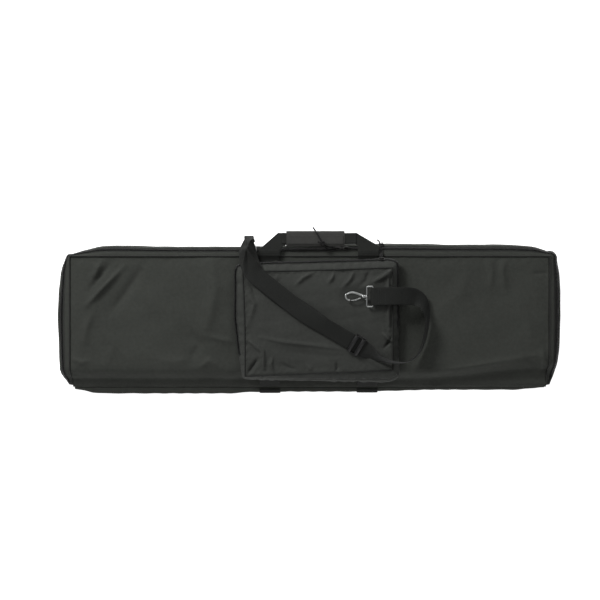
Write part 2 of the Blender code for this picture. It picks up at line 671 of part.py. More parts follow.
MAIN_CORD_LONG = [(0.0566, 0.1538, 0.0500), (0.0505, 0.1542, 0.0512), (0.0440, 0.1541, 0.0560),
                  (0.0398, 0.1542, 0.0630), (0.0364, 0.1556, 0.0702), (0.0324, 0.1585, 0.0738),
                  (0.0279, 0.1620, 0.0740), (0.0238, 0.1680, 0.0735), (0.0180, 0.1775, 0.0727),
                  (0.0120, 0.1885, 0.0710), (0.0066, 0.1965, 0.0665)]
MAIN_CORD_SHORT = [(0.0566, 0.1499, 0.0535), (0.0500, 0.1499, 0.0548), (0.0430, 0.1500, 0.0600),
                   (0.0370, 0.1505, 0.0680), (0.0318, 0.1533, 0.0730), (0.0255, 0.1587, 0.0740),
                   (0.0215, 0.1625, 0.0737), (0.0172, 0.1646, 0.0733)]
POCKET_CORD_LONG = [(0.1522, 0.1307, 0.0758), (0.1524, 0.1345, 0.0713), (0.1528, 0.1385, 0.0642),
                    (0.1533, 0.1430, 0.0585), (0.1537, 0.1490, 0.0545), (0.1540, 0.1555, 0.0505),
                    (0.1540, 0.1610, 0.0465), (0.1520, 0.1665, 0.0430), (0.1480, 0.1706, 0.0400)]
POCKET_CORD_SHORT = [(0.1560, 0.1307, 0.0758), (0.1562, 0.1345, 0.0713), (0.1566, 0.1385, 0.0642),
                     (0.1570, 0.1430, 0.0585), (0.1574, 0.1490, 0.0545), (0.1577, 0.1555, 0.0505),
                     (0.1580, 0.1610, 0.0465), (0.1586, 0.1650, 0.0435)]


def zips():
    """Two sliders meeting on the main zip, one on the pocket, and their pull cords."""
    a = math.radians(ZIP_ANGLE)
    half, middle = (FRONT_Z - 0.0040) / 2, (FRONT_Z + 0.0040) / 2
    normal = Vector((0.0, math.cos(a) / TOP_BULGE, math.sin(a) / half)).normalized()
    for side, x in SLIDER_X.items():
        seat = Vector((x, TOP_Y + GAP + TOP_BULGE * math.cos(a), middle + half * math.sin(a)))
        slider("main_slider_" + side, seat, normal)
    base = FRONT_Z + POCKET_BASE
    rise = POCKET_TOP_Z - FABRIC - GAP - base
    t = 0.63
    out = -POCKET_SEAM_IN * t + POCKET_BULGE * math.sin(math.pi * t)
    slope = -POCKET_SEAM_IN + POCKET_BULGE * math.pi * math.cos(math.pi * t)
    seat = Vector((POCKET_SLIDER_X, POCKET["top"] + out, base + rise * t))
    slider("pocket_slider", seat, Vector((0.0, rise, -slope)).normalized())
    cords = {"main_cord_long": MAIN_CORD_LONG, "main_cord_short": MAIN_CORD_SHORT,
             "pocket_cord_long": POCKET_CORD_LONG, "pocket_cord_short": POCKET_CORD_SHORT}
    for name, route in cords.items():
        wire(name, smooth_path(route, 0.005), CORD / 2, "cord")
    knot("main_knot", Vector((0.0267, 0.16035, 0.0740)), Vector((-0.66, 0.75, 0.0)).normalized())
    knot("pocket_knot", Vector((0.1559, 0.1580, 0.04875)), Vector((0.0, 0.8, -0.6)))


def build():
    clear_scene()
    rear_shell()
    bottom_gusset()
    front_shell()
    pocket()
    handles()
    d_rings()
    shoulder_strap()
    strap_fittings()
    zips()


build()
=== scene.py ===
import math

import bpy
import numpy as np
from mathutils import Matrix, Vector


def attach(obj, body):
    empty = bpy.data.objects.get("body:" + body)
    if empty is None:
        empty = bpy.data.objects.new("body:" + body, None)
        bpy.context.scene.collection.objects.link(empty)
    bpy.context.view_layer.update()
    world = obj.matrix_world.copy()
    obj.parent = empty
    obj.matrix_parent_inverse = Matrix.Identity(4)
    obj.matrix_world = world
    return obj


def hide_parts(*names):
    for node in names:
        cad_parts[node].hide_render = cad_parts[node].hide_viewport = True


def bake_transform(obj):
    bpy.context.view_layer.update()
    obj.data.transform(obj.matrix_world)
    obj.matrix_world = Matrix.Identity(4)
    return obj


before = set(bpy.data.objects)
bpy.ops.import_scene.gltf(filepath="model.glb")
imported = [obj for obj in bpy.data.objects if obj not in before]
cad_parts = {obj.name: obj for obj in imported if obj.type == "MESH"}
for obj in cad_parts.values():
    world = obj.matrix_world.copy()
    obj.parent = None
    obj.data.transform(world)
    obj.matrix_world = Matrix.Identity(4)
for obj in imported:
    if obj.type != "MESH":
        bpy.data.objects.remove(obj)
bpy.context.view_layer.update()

# ---- dimensions shared with the CAD, in metres --------------------------------------
GAP, FABRIC = 0.0004, 0.0014
HALF_X, TOP_Y, BOTTOM_Y = 0.522, 0.133, -0.1505
HINGE_Y, HINGE_Z = -0.1530, 0.0203
FRONT_Z, BEND_Y = 0.0555, -0.108
ZIP_ANGLE, TEETH_PITCH = 52.0, 0.0024
WEB_X = {"left": -0.0875, "right": 0.1275}
WEB_W = 0.046
HANDLE_Z, REAR_HANDLE_Z = 0.0646, 0.0016
RING_X = {"left": -0.137, "right": 0.1275}
RING_SHIFT = {"left": 0.0040, "right": 0.0}    # the left ring is drawn under the strap
RING_Y, RING_Z, RING_WIRE = 0.1395, 0.0600, 0.0016
RING_DEPTH, RING_HALF = 0.0235, {"left": 0.0160, "right": 0.0215}
STRAP_W, STRAP_T, LAYER = 0.038, 0.0020, 0.0030
SLIDER_X = {"left": 0.0600, "right": 0.0800}
POCKET_SLIDER_X = 0.1540
CORD, BAR_R = 0.0032, 0.0017
POCKET_Z = 0.0885

# ---- camera, lights and floor -------------------------------------------------------
CAMERA_AT = (-0.0211, 0.0386, 2.43)
LIGHTS = (                       # name, place, side of its square, watts
    ("key", (-1.6, 1.85, 1.8), 0.9, 72.0),
    ("fill", (1.6, 1.1, 2.2), 2.2, 8.0),
    ("top", (-0.3, 0.2, 3.2), 2.4, 12.0),
    ("behind", (0.3, 2.4, 1.0), 1.5, 12.0),
    ("before", (0.2, -2.2, 1.2), 2.0, 14.0),
)
FLOOR_HALF, FLOOR_DROP = 9.0, 0.0004


def stage():
    """Camera straight above, soft lights, a pale floor and a white surround."""
    scene = bpy.context.scene
    camera = bpy.data.objects.new("camera", bpy.data.cameras.new("camera"))
    camera.data.lens, camera.data.sensor_width = 65.45, 36.0
    camera.location = CAMERA_AT
    scene.collection.objects.link(camera)
    scene.camera = camera
    scene.view_settings.view_transform = "Standard"
    world = bpy.data.worlds.new("studio")
    world.use_nodes = True
    world.node_tree.nodes["Background"].inputs[0].default_value = (1.0, 1.0, 1.0, 1.0)
    world.node_tree.nodes["Background"].inputs[1].default_value = 0.13
    scene.world = world
    for name, spot, size, power in LIGHTS:
        lamp = bpy.data.lights.new(name, "AREA")
        lamp.size, lamp.energy = size, power
        obj = bpy.data.objects.new(name, lamp)
        obj.location = spot
        obj.rotation_euler = (-Vector(spot)).to_track_quat("-Z", "Y").to_euler()
        scene.collection.objects.link(obj)
    mesh = bpy.data.meshes.new("floor")
    r = FLOOR_HALF
    mesh.from_pydata([(-r, -r, 0), (r, -r, 0), (r, r, 0), (-r, r, 0)], [], [(0, 1, 2, 3)])
    floor = bpy.data.objects.new("floor", mesh)
    floor.location.z = -FLOOR_DROP
    scene.collection.objects.link(floor)
    mat = bpy.data.materials.new("floor")
    mat.use_nodes = True
    shader = mat.node_tree.nodes["Principled BSDF"]
    shader.inputs["Base Color"].default_value = (0.97, 0.97, 0.97, 1.0)
    shader.inputs["Roughness"].default_value = 1.0
    shader.inputs["Specular IOR Level"].default_value = 0.0
    shader.inputs["Emission Color"].default_value = (1.0, 1.0, 1.0, 1.0)
    shader.inputs["Emission Strength"].default_value = 0.85
    mesh.materials.append(mat)


# ---- materials ----------------------------------------------------------------------
def new_material(name, roughness, metallic=0.0, sheen=0.0, specular=0.12):
    mat = bpy.data.materials.new(name)
    mat.use_nodes = True
    shader = mat.node_tree.nodes["Principled BSDF"]
    shader.inputs["Roughness"].default_value = roughness
    shader.inputs["Metallic"].default_value = metallic
    shader.inputs["Sheen Weight"].default_value = sheen
    shader.inputs["Sheen Roughness"].default_value = 0.45
    shader.inputs["Specular IOR Level"].default_value = specular
    return mat, mat.node_tree, shader


def node(tree, kind, inputs=None, **settings):
    made = tree.nodes.new(kind)
    for key, value in settings.items():
        setattr(made, key, value)
    for key, value in (inputs or {}).items():
        if isinstance(value, bpy.types.NodeSocket):
            tree.links.new(value, made.inputs[key])
        else:
            made.inputs[key].default_value = value
    return made


def maths(tree, operation, a, b):
    return node(tree, "ShaderNodeMath", {0: a, 1: b}, operation=operation).outputs[0]


def weighted(tree, *terms):
    """Sum of outputs, each times its weight."""
    total = None
    for output, weight in terms:
        scaled = output if weight == 1.0 else maths(tree, "MULTIPLY", output, weight)
        total = scaled if total is None else maths(tree, "ADD", total, scaled)
    return total


def uneven(tree, shader, fac, low, high):
    """Roughness that follows a texture between two values."""
    spread = node(tree, "ShaderNodeMapRange", {"Value": fac, "To Min": low, "To Max": high})
    tree.links.new(spread.outputs[0], shader.inputs["Roughness"])


def noise(tree, where, scale, detail=2.0):
    return node(tree, "ShaderNodeTexNoise", {"Vector": where, "Scale": scale, "Detail": detail}
                ).outputs["Fac"]


def wave(tree, where, scale, direction):
    return node(tree, "ShaderNodeTexWave", {"Vector": where, "Scale": scale},
                bands_direction=direction).outputs["Fac"]


def ramp(tree, fac, low, high, start=0.3, end=0.7):
    made = node(tree, "ShaderNodeValToRGB", {"Fac": fac})
    made.color_ramp.elements[0].color = (*low, 1.0)
    made.color_ramp.elements[1].color = (*high, 1.0)
    made.color_ramp.elements[0].position = start
    made.color_ramp.elements[1].position = end
    return made.outputs["Color"]


def bump(tree, shader, height, strength, distance):
    made = node(tree, "ShaderNodeBump", {"Height": height, "Strength": strength,
                                         "Distance": distance})
    tree.links.new(made.outputs["Normal"], shader.inputs["Normal"])


def shade(colour, k):
    return tuple(c * k for c in colour)


def woven(name, colour, pitch=0.0009, rough=0.82, relief=0.00016, sheen=0.04, spread=0.16):
    """Coated plain weave: two crossed sets of threads, slubs, and broad uneven fading."""
    mat, tree, shader = new_material(name, rough, sheen=sheen)
    where = node(tree, "ShaderNodeTexCoord").outputs["Object"]
    scale = 0.314 / pitch
    warp, weft = wave(tree, where, scale, "X"), wave(tree, where, scale, "Y")
    rise = wave(tree, where, scale, "Z")
    slubs = noise(tree, where, 420.0, 3.0)
    dents = noise(tree, where, 95.0, 3.0)
    crossed = maths(tree, "MULTIPLY", warp, weft)
    height = weighted(tree, (crossed, 1.0), (rise, 0.4), (slubs, 0.9), (dents, 5.0))
    bump(tree, shader, height, 0.5, relief)
    broad, middling = noise(tree, where, 7.0, 3.0), noise(tree, where, 130.0, 4.0)
    mixed = weighted(tree, (broad, 0.40), (middling, 0.40), (slubs, 0.20))
    tree.links.new(ramp(tree, mixed, shade(colour, 1 - spread), shade(colour, 1 + spread)),
                   shader.inputs["Base Color"])
    uneven(tree, shader, slubs, rough - 0.06, rough + 0.08)
    return mat


def ribbed(name, colour, across=0.0030, along=0.0016):
    """Webbing: heavy lengthwise ribs crossed by the weft; the 'lay' attribute holds the
    distance along it and across it."""
    mat, tree, shader = new_material(name, 0.74, sheen=0.03)
    lay = node(tree, "ShaderNodeAttribute", attribute_name="lay").outputs["Vector"]
    weft, warp = wave(tree, lay, 0.314 / along, "X"), wave(tree, lay, 0.314 / across, "Y")
    fuzz = noise(tree, lay, 600.0, 3.0)
    bump(tree, shader, weighted(tree, (weft, 0.6), (warp, 0.8), (fuzz, 0.7)), 0.6, 0.00028)
    tone = weighted(tree, (fuzz, 0.6), (noise(tree, lay, 22.0, 2.0), 0.4))
    tree.links.new(ramp(tree, tone, shade(colour, 0.82), shade(colour, 1.2)),
                   shader.inputs["Base Color"])
    uneven(tree, shader, fuzz, 0.66, 0.86)
    return mat


def braided(name, colour):
    """Round braid: two diagonal sets of strands, from the 'lay' attribute; the colour is darker in the strand
    gaps and lighter on the crowns, painted shade and painted highlight.
    """
    mat, tree, shader = new_material(name, 0.66, sheen=0.03)
    lay = node(tree, "ShaderNodeAttribute", attribute_name="lay").outputs["Vector"]
    turned = [node(tree, "ShaderNodeMapping", {"Vector": lay, "Rotation": (0, 0, a)}).outputs[0]
              for a in (0.7, -0.7)]
    strands = maths(tree, "MULTIPLY", wave(tree, turned[0], 210.0, "X"),
                    wave(tree, turned[1], 210.0, "X"))
    bump(tree, shader, strands, 0.7, 0.0004)
    # painted shade in the gaps between strands and painted highlight on their crowns, following the bump's
    # relief
    tree.links.new(ramp(tree, strands, shade(colour, 0.7), shade(colour, 1.3), 0.1, 0.8),
                   shader.inputs["Base Color"])
    return mat


def metal(name, colour, rough):
    """Plated steel, slightly uneven, with small marks."""
    mat, tree, shader = new_material(name, rough, metallic=1.0, specular=0.5)
    where = node(tree, "ShaderNodeTexCoord").outputs["Object"]
    broad, fine = noise(tree, where, 90.0, 4.0), noise(tree, where, 900.0, 2.0)
    tree.links.new(ramp(tree, broad, shade(colour, 0.86), shade(colour, 1.12)),
                   shader.inputs["Base Color"])
    uneven(tree, shader, fine, rough - 0.07, rough + 0.12)
    bump(tree, shader, fine, 0.10, 0.0001)
    return mat


def moulded(name, colour, rough=0.42):
    """Moulded plastic with a fine eroded grain."""
    mat, tree, shader = new_material(name, rough, specular=0.4)
    where = node(tree, "ShaderNodeTexCoord").outputs["Object"]
    grain = noise(tree, where, 1400.0, 2.0)
    bump(tree, shader, grain, 0.25, 0.00008)
    tree.links.new(ramp(tree, noise(tree, where, 60.0), shade(colour, 0.85), shade(colour, 1.15)),
                   shader.inputs["Base Color"])
    uneven(tree, shader, grain, rough - 0.06, rough + 0.10)
    return mat


def all_materials():
    return {
        "fabric": woven("coated_weave", (0.0400, 0.0425, 0.0378)),
        "pocket": woven("pocket_weave", (0.0405, 0.0425, 0.0390)),
        "wrap": woven("wrap_weave", (0.0430, 0.0430, 0.0410), pitch=0.0011, sheen=0.08),
        "lining": woven("lining_weave", (0.0150, 0.0150, 0.0155), pitch=0.0006, rough=0.6),
        "foam": woven("padding", (0.020, 0.020, 0.020), pitch=0.0016, rough=0.92),
        "tape": woven("zip_tape_weave", (0.0310, 0.0320, 0.0300), pitch=0.0007),
        "piping": woven("binding_weave", (0.0320, 0.0330, 0.0310), pitch=0.0006),
        "webbing": ribbed("handle_webbing_weave", (0.0195, 0.0205, 0.0190)),
        "strap": ribbed("strap_webbing_weave", (0.0155, 0.0164, 0.0152), 0.0032, 0.0018),
        "cord": braided("cord_braid", (0.0150, 0.0150, 0.0150)),
        "thread": moulded("sewing_thread", (0.030, 0.030, 0.029), 0.65),
        "coil": moulded("zip_coil_plastic", (0.012, 0.012, 0.012), 0.38),
        "plastic": moulded("adjuster_plastic", (0.0080, 0.0080, 0.0080), 0.48),
        "steel": metal("nickel_plate", (0.38, 0.39, 0.385), 0.30),
        "slider": metal("dark_plate", (0.050, 0.050, 0.048), 0.38),
    }


# ---- mesh helpers -------------------------------------------------------------------
def signed_volume(verts, faces):
    """Six times the volume, negative where the faces point inwards."""
    fans = np.array([(f[0], f[k], f[k + 1]) for f in faces for k in range(1, len(f) - 1)])
    a, b, c = (verts[fans[:, k]] - verts[0] for k in range(3))
    return float(np.einsum("ij,ij->", a, np.cross(b, c)))


def piece(name, verts, faces, finish, body, replaces=(), smooth=True, lay=None):
    verts = np.array([tuple(v) for v in verts], float)
    if signed_volume(verts, faces) < 0:
        faces = [tuple(f)[::-1] for f in faces]
    mesh = bpy.data.meshes.new(name)
    mesh.from_pydata(verts.tolist(), [], [tuple(map(int, f)) for f in faces])
    mesh.validate()
    if lay is not None:
        data = mesh.attributes.new("lay", "FLOAT_VECTOR", "POINT")
        data.data.foreach_set("vector", np.asarray(lay, np.float32).ravel())
    mesh.materials.append(MATERIALS[finish])
    if smooth:
        mesh.shade_smooth()
    obj = bpy.data.objects.new(name, mesh)
    bpy.context.scene.collection.objects.link(obj)
    if body:
        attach(obj, body)
    if replaces:
        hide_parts(*replaces)
    return obj


def grid_faces(rows, columns, wrap_rows=False, wrap_columns=False):
    r = np.arange(rows if wrap_rows else rows - 1)
    c = np.arange(columns if wrap_columns else columns - 1)
    i, j = np.meshgrid(r, c, indexing="ij")
    i2, j2 = (i + 1) % rows, (j + 1) % columns
    return np.stack([i * columns + j, i2 * columns + j, i2 * columns + j2, i * columns + j2],
                    -1).reshape(-1, 4)


def normals_of(points):
    """Unit normals of a (rows, columns, 3) grid."""
    du, dv = np.gradient(points, axis=0), np.gradient(points, axis=1)
    n = np.cross(du, dv)
    return n / np.maximum(np.linalg.norm(n, axis=2, keepdims=True), 1e-12)


def thick_grid(name, points, thickness, finish, body, replaces=(), flip=False):
    """A closed sheet: the grid is its outside; its inside is thickness below it."""
    rows, columns = points.shape[:2]
    n = normals_of(points) * (-1.0 if flip else 1.0)
    inner = points - n * thickness
    count = rows * columns
    top = grid_faces(rows, columns)
    faces = [f if not flip else f[::-1] for f in top.tolist()]
    faces += [f[::-1] if not flip else f for f in (top + count).tolist()]
    rim = [i * columns for i in range(rows)] + [(rows - 1) * columns + j for j in range(1, columns)]
    rim += [i * columns + columns - 1 for i in range(rows - 2, -1, -1)]
    rim += list(range(columns - 2, 0, -1))
    for a, b in zip(rim, rim[1:] + rim[:1]):
        faces.append((b, a, a + count, b + count) if not flip else (a, b, b + count, a + count))
    verts = np.concatenate([points.reshape(-1, 3), inner.reshape(-1, 3)])
    return piece(name, verts, faces, finish, body, replaces)


def between(p0, p1, p2, p3, t):
    """Point at t from p1 to p2 on the Catmull-Rom curve."""
    return tuple(0.5 * (2 * b + (c - a) * t + (2 * a - 5 * b + 4 * c - d) * t * t
                        + (3 * b - a - 3 * c + d) * t ** 3) for a, b, c, d in zip(p0, p1, p2, p3))


def smooth_path(points, step):
    """Curve through the points, as in the CAD; extra values are carried along."""
    found = []
    for i in range(len(points) - 1):
        p0, p1 = points[max(i - 1, 0)], points[i]
        p2, p3 = points[i + 1], points[min(i + 2, len(points) - 1)]
        parts = max(1, round((Vector(p2[:3]) - Vector(p1[:3])).length / step))
        found += [between(p0, p1, p2, p3, k / parts) for k in range(parts)]
    found.append(tuple(points[-1]))
    return found


def frames_along(path, cyclic=False):
    """Tangent and two normals at each point, without twist."""
    p = np.asarray(path, float)
    if cyclic:
        t = np.roll(p, -1, 0) - np.roll(p, 1, 0)
    else:
        t = np.gradient(p, axis=0)
    t /= np.linalg.norm(t, axis=1, keepdims=True)
    side = np.cross(t[0], (0.0, 0.0, 1.0) if abs(t[0][2]) < 0.9 else (0.0, 1.0, 0.0))
    found = []
    for k in range(len(p)):
        side = side - t[k] * side.dot(t[k])
        side /= np.linalg.norm(side)
        found.append((p[k], t[k], side, np.cross(t[k], side)))
    return found


def tube(name, path, radius, finish, body, replaces=(), sides=12, cyclic=False, flat=1.0):
    """A round bar with rounded ends; radius may be one number or one for each point."""
    found = frames_along(path, cyclic)
    radii = np.broadcast_to(np.asarray(radius, float), (len(found),)).copy()
    rings, lay, run = [], [], 0.0
    for k, (p, _, u, v) in enumerate(found):
        run += 0.0 if k == 0 else float(np.linalg.norm(p - found[k - 1][0]))
        for j in range(sides):
            a = 2 * math.pi * j / sides
            rings.append(p + radii[k] * (u * math.cos(a) + v * math.sin(a) * flat))
            lay.append((run, radii[k] * a, 0.0))
    faces = grid_faces(len(found), sides, cyclic, True).tolist()
    if not cyclic:
        for end, at, sign in ((0, found[0], -1.0), (len(found) - 1, found[-1], 1.0)):
            tip = len(rings)
            rings.append(at[0] + at[1] * radii[end] * 0.55 * sign)
            lay.append((run * (sign > 0), 0.0, 0.0))
            for j in range(sides):
                a, b = end * sides + j, end * sides + (j + 1) % sides
                faces.append((b, a, tip) if sign > 0 else (a, b, tip))
    return piece(name, rings, [f[::-1] for f in faces], finish, body, replaces, lay=lay)


def band(name, centres, across, width, thickness, finish, body, replaces=(), ribs=9, depth=0.00022):
    """Webbing along centres: rounded edges and lengthwise ribs on both faces."""
    count = ribs * 3 + 1
    spots, widths = np.linspace(-1.0, 1.0, count), np.broadcast_to(width, (len(centres),))
    half = thickness / 2 * np.clip((1 - np.abs(spots) ** 14), 0.35, 1.0)
    half = half - depth * (0.5 - 0.5 * np.cos(spots * math.pi * ribs))
    verts, lay, run = [], [], 0.0
    for i, centre in enumerate(centres):
        before, after = centres[max(i - 1, 0)], centres[min(i + 1, len(centres) - 1)]
        along = (after - before).normalized()
        side = (across[i] - along * across[i].dot(along)).normalized()
        face = along.cross(side)
        run += 0.0 if i == 0 else (centre - centres[i - 1]).length
        for j in range(count):
            verts.append(centre + side * (spots[j] * widths[i] / 2) + face * half[j])
            lay.append((run, spots[j] * widths[i] / 2, 0.0))
        for j in reversed(range(count)):
            verts.append(centre + side * (spots[j] * widths[i] / 2) - face * half[j])
            lay.append((run, spots[j] * widths[i] / 2, 0.0))
    ring = 2 * count
    faces = grid_faces(len(centres), ring, False, True).tolist()
    for base, turn in ((0, 1), ((len(centres) - 1) * ring, -1)):
        for j in range(count - 1):
            quad = (base + j, base + j + 1, base + ring - 2 - j, base + ring - 1 - j)
            faces.append(quad[::turn])
    return piece(name, verts, faces, finish, body, replaces, lay=lay)


def slab(name, outline, z0, z1, finish, body, replaces=(), round_by=0.0006):
    """A flat shape with softened edges, from an (x, y) outline."""
    loop = [Vector((*p, 0.0)) for p in outline]
    area = sum(a.x * b.y - b.x * a.y for a, b in zip(loop, loop[1:] + loop[:1]))
    if area < 0:
        loop.reverse()
    n, inner = len(loop), []
    for i, p in enumerate(loop):
        a, b = (p - loop[i - 1]).normalized(), (loop[(i + 1) % n] - p).normalized()
        inward = Vector((-(a.y + b.y), a.x + b.x, 0.0))
        inner.append(p + inward.normalized() * round_by)
    levels = [(inner, z0), (loop, z0 + round_by), (loop, z1 - round_by), (inner, z1)]
    verts = [(p.x, p.y, z) for ring, z in levels for p in ring]
    faces = [f[::-1] for f in grid_faces(4, n, False, True).tolist()]
    faces += [tuple(range(n))[::-1], tuple(range(3 * n, 4 * n))]
    lay = [(v[1], v[0], 0.0) for v in verts]
    return piece(name, verts, faces, finish, body, replaces, smooth=False, lay=lay)


# small repeated pieces, gathered and made at the end
STITCHES = {}


def stitch_row(body, points, up, pitch=0.0034, size=0.0023, thick=0.00038):
    """Dashes of thread along a line of points, lying on a surface that faces up."""
    points = [Vector(p) for p in points]
    ups = up if isinstance(up, list) else [Vector(up)] * len(points)
    rest = 0.0
    for i in range(len(points) - 1):
        a, b = points[i], points[i + 1]
        step = (b - a).length
        if step < 1e-9:
            continue
        along = (b - a) / step
        while rest < step:
            face = ups[i] - along * ups[i].dot(along)
            face.normalize()
            STITCHES.setdefault(body, []).append((a + along * rest, along, face, size, thick))
            rest += pitch
        rest -= step


def make_stitches():
    for body, marks in STITCHES.items():
        verts, faces = [], []
        for centre, along, face, size, thick in marks:
            side, base = along.cross(face), len(verts)
            verts += [centre - along * size / 2, centre + along * size / 2, centre + side * thick,
                      centre - side * thick, centre + face * thick, centre - face * thick]
            for a, b, c in ((0, 4, 2), (0, 3, 4), (1, 2, 4), (1, 4, 3), (0, 2, 5), (0, 5, 3),
                            (1, 5, 2), (1, 3, 5)):
                faces.append((base + a, base + c, base + b))
        piece("stitching_" + body, verts, faces, "thread", body)


def teeth(name, seats, body, replaces, half, width, height):
    """Zip teeth: one small rounded block at each seat (centre, along, across, up)."""
    verts, faces = [], []
    for centre, along, across, up in seats:
        base = len(verts)
        for w, h in ((width / 2, 0.0), (width / 2, height * 0.6), (width * 0.28, height)):
            for sx, sy in ((-1, -1), (1, -1), (1, 1), (-1, 1)):
                verts.append(centre + along * (sx * w) + across * (sy * half) + up * h)
        for level in (0, 4):
            for j in range(4):
                k = (j + 1) % 4
                faces.append((base + level + j, base + level + k, base + level + 4 + k,
                              base + level + 4 + j))
        faces += [(base + 8, base + 9, base + 10, base + 11), (base + 3, base + 2, base + 1, base)]
    return piece(name, verts, faces, "coil", body, replaces, smooth=False)


# ---- cords --------------------------------------------------------------------------
MAIN_CORD_LONG = [(0.0566, 0.1538, 0.0500), (0.0505, 0.1542, 0.0512), (0.0440, 0.1541, 0.0560),
                  (0.0398, 0.1542, 0.0630), (0.0364, 0.1556, 0.0702), (0.0324, 0.1585, 0.0738),
                  (0.0279, 0.1620, 0.0740), (0.0238, 0.1680, 0.0735), (0.0180, 0.1775, 0.0727),
                  (0.0120, 0.1885, 0.0710), (0.0066, 0.1965, 0.0665)]
MAIN_CORD_SHORT = [(0.0566, 0.1499, 0.0535), (0.0500, 0.1499, 0.0548), (0.0430, 0.1500, 0.0600),
                   (0.0370, 0.1505, 0.0680), (0.0318, 0.1533, 0.0730), (0.0255, 0.1587, 0.0740),
                   (0.0215, 0.1625, 0.0737), (0.0172, 0.1646, 0.0733)]
POCKET_CORD_LONG = [(0.1522, 0.1307, 0.0758), (0.1524, 0.1345, 0.0713), (0.1528, 0.1385, 0.0642),
                    (0.1533, 0.1430, 0.0585), (0.1537, 0.1490, 0.0545), (0.1540, 0.1555, 0.0505),
                    (0.1540, 0.1610, 0.0465), (0.1520, 0.1665, 0.0430), (0.1480, 0.1706, 0.0400)]
POCKET_CORD_SHORT = [(0.1560, 0.1307, 0.0758), (0.1562, 0.1345, 0.0713), (0.1566, 0.1385, 0.0642),
                     (0.1570, 0.1430, 0.0585), (0.1574, 0.1490, 0.0545), (0.1577, 0.1555, 0.0505),
                     (0.1580, 0.1610, 0.0465), (0.1586, 0.1650, 0.0435)]


def knot(name, centre, heading, body, replaces):
    """An overhand knot pulled tight: a small closed trefoil, flattened where it lies."""
    flat = Vector((-heading.y, heading.x, 0.0)).normalized()
    up = heading.cross(flat).normalized()
    path = []
    for k in range(48):
        t = 2 * math.pi * k / 48
        u, v = math.sin(t) + 2 * math.sin(2 * t), math.cos(t) - 2 * math.cos(2 * t)
        path.append(centre + heading * (u * 0.00165) + flat * (v * 0.00175)
                    + up * (-math.sin(3 * t) * 0.0014))
    return tube(name, path, CORD * 0.5, "cord", body, replaces, cyclic=True)


def cords():
    """The two pull cords, each a doubled strand with an overhand knot."""
    pairs = (("main", "left_slider", MAIN_CORD_LONG, MAIN_CORD_SHORT,
              Vector((0.0267, 0.16035, 0.0740)), Vector((-0.66, 0.75, 0.0)).normalized()),
             ("pocket", "pocket_pull", POCKET_CORD_LONG, POCKET_CORD_SHORT,
              Vector((0.1559, 0.1580, 0.04875)), Vector((0.0, 0.8, -0.6))))
    for which, body, long_route, short_route, centre, heading in pairs:
        tied = knot(which + "_overhand_knot", centre, heading, body, (which + "_knot",))
        for size, route in (("long", long_route), ("short", short_route)):
            path = smooth_path(route, 0.0016)
            taper = np.full(len(path), CORD / 2)
            taper[-3:] *= (0.98, 0.90, 0.72)
            strand = tube(which + "_pull_" + size, path, taper, "cord", body,
                          (f"{which}_cord_{size}",))


# ---- the case's surfaces ------------------------------------------------------------
def ease(t):
    t = np.clip(t, 0.0, 1.0)
    return t * t * (3 - 2 * t)


def cad_front_height(y):
    t = np.clip((BEND_Y - y) / (BEND_Y - HINGE_Y), 0.0, 1.0)
    return FRONT_Z - (FRONT_Z - HINGE_Z) * t ** 1.6


ROLL_Y = np.array([-0.1530, -0.1455, -0.1375, -0.1335, -0.1290, -0.1235, -0.1180, -0.1120, -0.1040,
                   -0.0900, 0.14])
ROLL_Z = np.array([0.0208, 0.0248, 0.0280, 0.0312, 0.0385, 0.0462, 0.0513, 0.0541, 0.0552, 0.0555,
                   0.0555])


def profile(x, y):
    """Front panel across its height.  It rolls over sooner towards the right end."""
    early = 0.020 * ease((x - 0.24) / 0.26) * ease((y + 0.150) / 0.02)
    return np.interp(y - early, ROLL_Y, ROLL_Z)


def crease(x, y, line, width, height, sharp=0.0):
    """A soft ridge (or with negative height a groove) along a line of points."""
    total = np.zeros_like(x)
    pts = np.asarray(line, float)
    spans = np.linalg.norm(np.diff(pts, axis=0), axis=1)
    length, run = spans.sum(), 0.0
    for a, b, span in zip(pts, pts[1:], spans):
        d = (b - a) / span
        s = np.clip((x - a[0]) * d[0] + (y - a[1]) * d[1], 0.0, span)
        across = -(x - a[0] - d[0] * s) * d[1] + (y - a[1] - d[1] * s) * d[0]
        away = np.hypot(x - a[0] - d[0] * s, y - a[1] - d[1] * s)
        fade = np.sin(math.pi * np.clip((run + s) / length, 0.04, 0.96)) ** 0.6
        shape = np.exp(-(away / width) ** 2) * (1.0 + sharp * np.tanh(across / width * 2.0))
        total = np.where(np.abs(shape * fade) > np.abs(total), shape * fade, total)
        run += span
    return total * height


def soft_noise(x, y, scale, seed):
    """Smooth uneven relief from a few seeded waves, about -1..1."""
    rng = np.random.default_rng(seed)
    total = np.zeros_like(x)
    for _ in range(7):
        a, phase = rng.uniform(0, math.pi), rng.uniform(0, 2 * math.pi)
        k = 2 * math.pi / (scale * rng.uniform(0.6, 1.6))
        total = total + np.sin((x * math.cos(a) + y * math.sin(a)) * k + phase)
    return total / 4.0


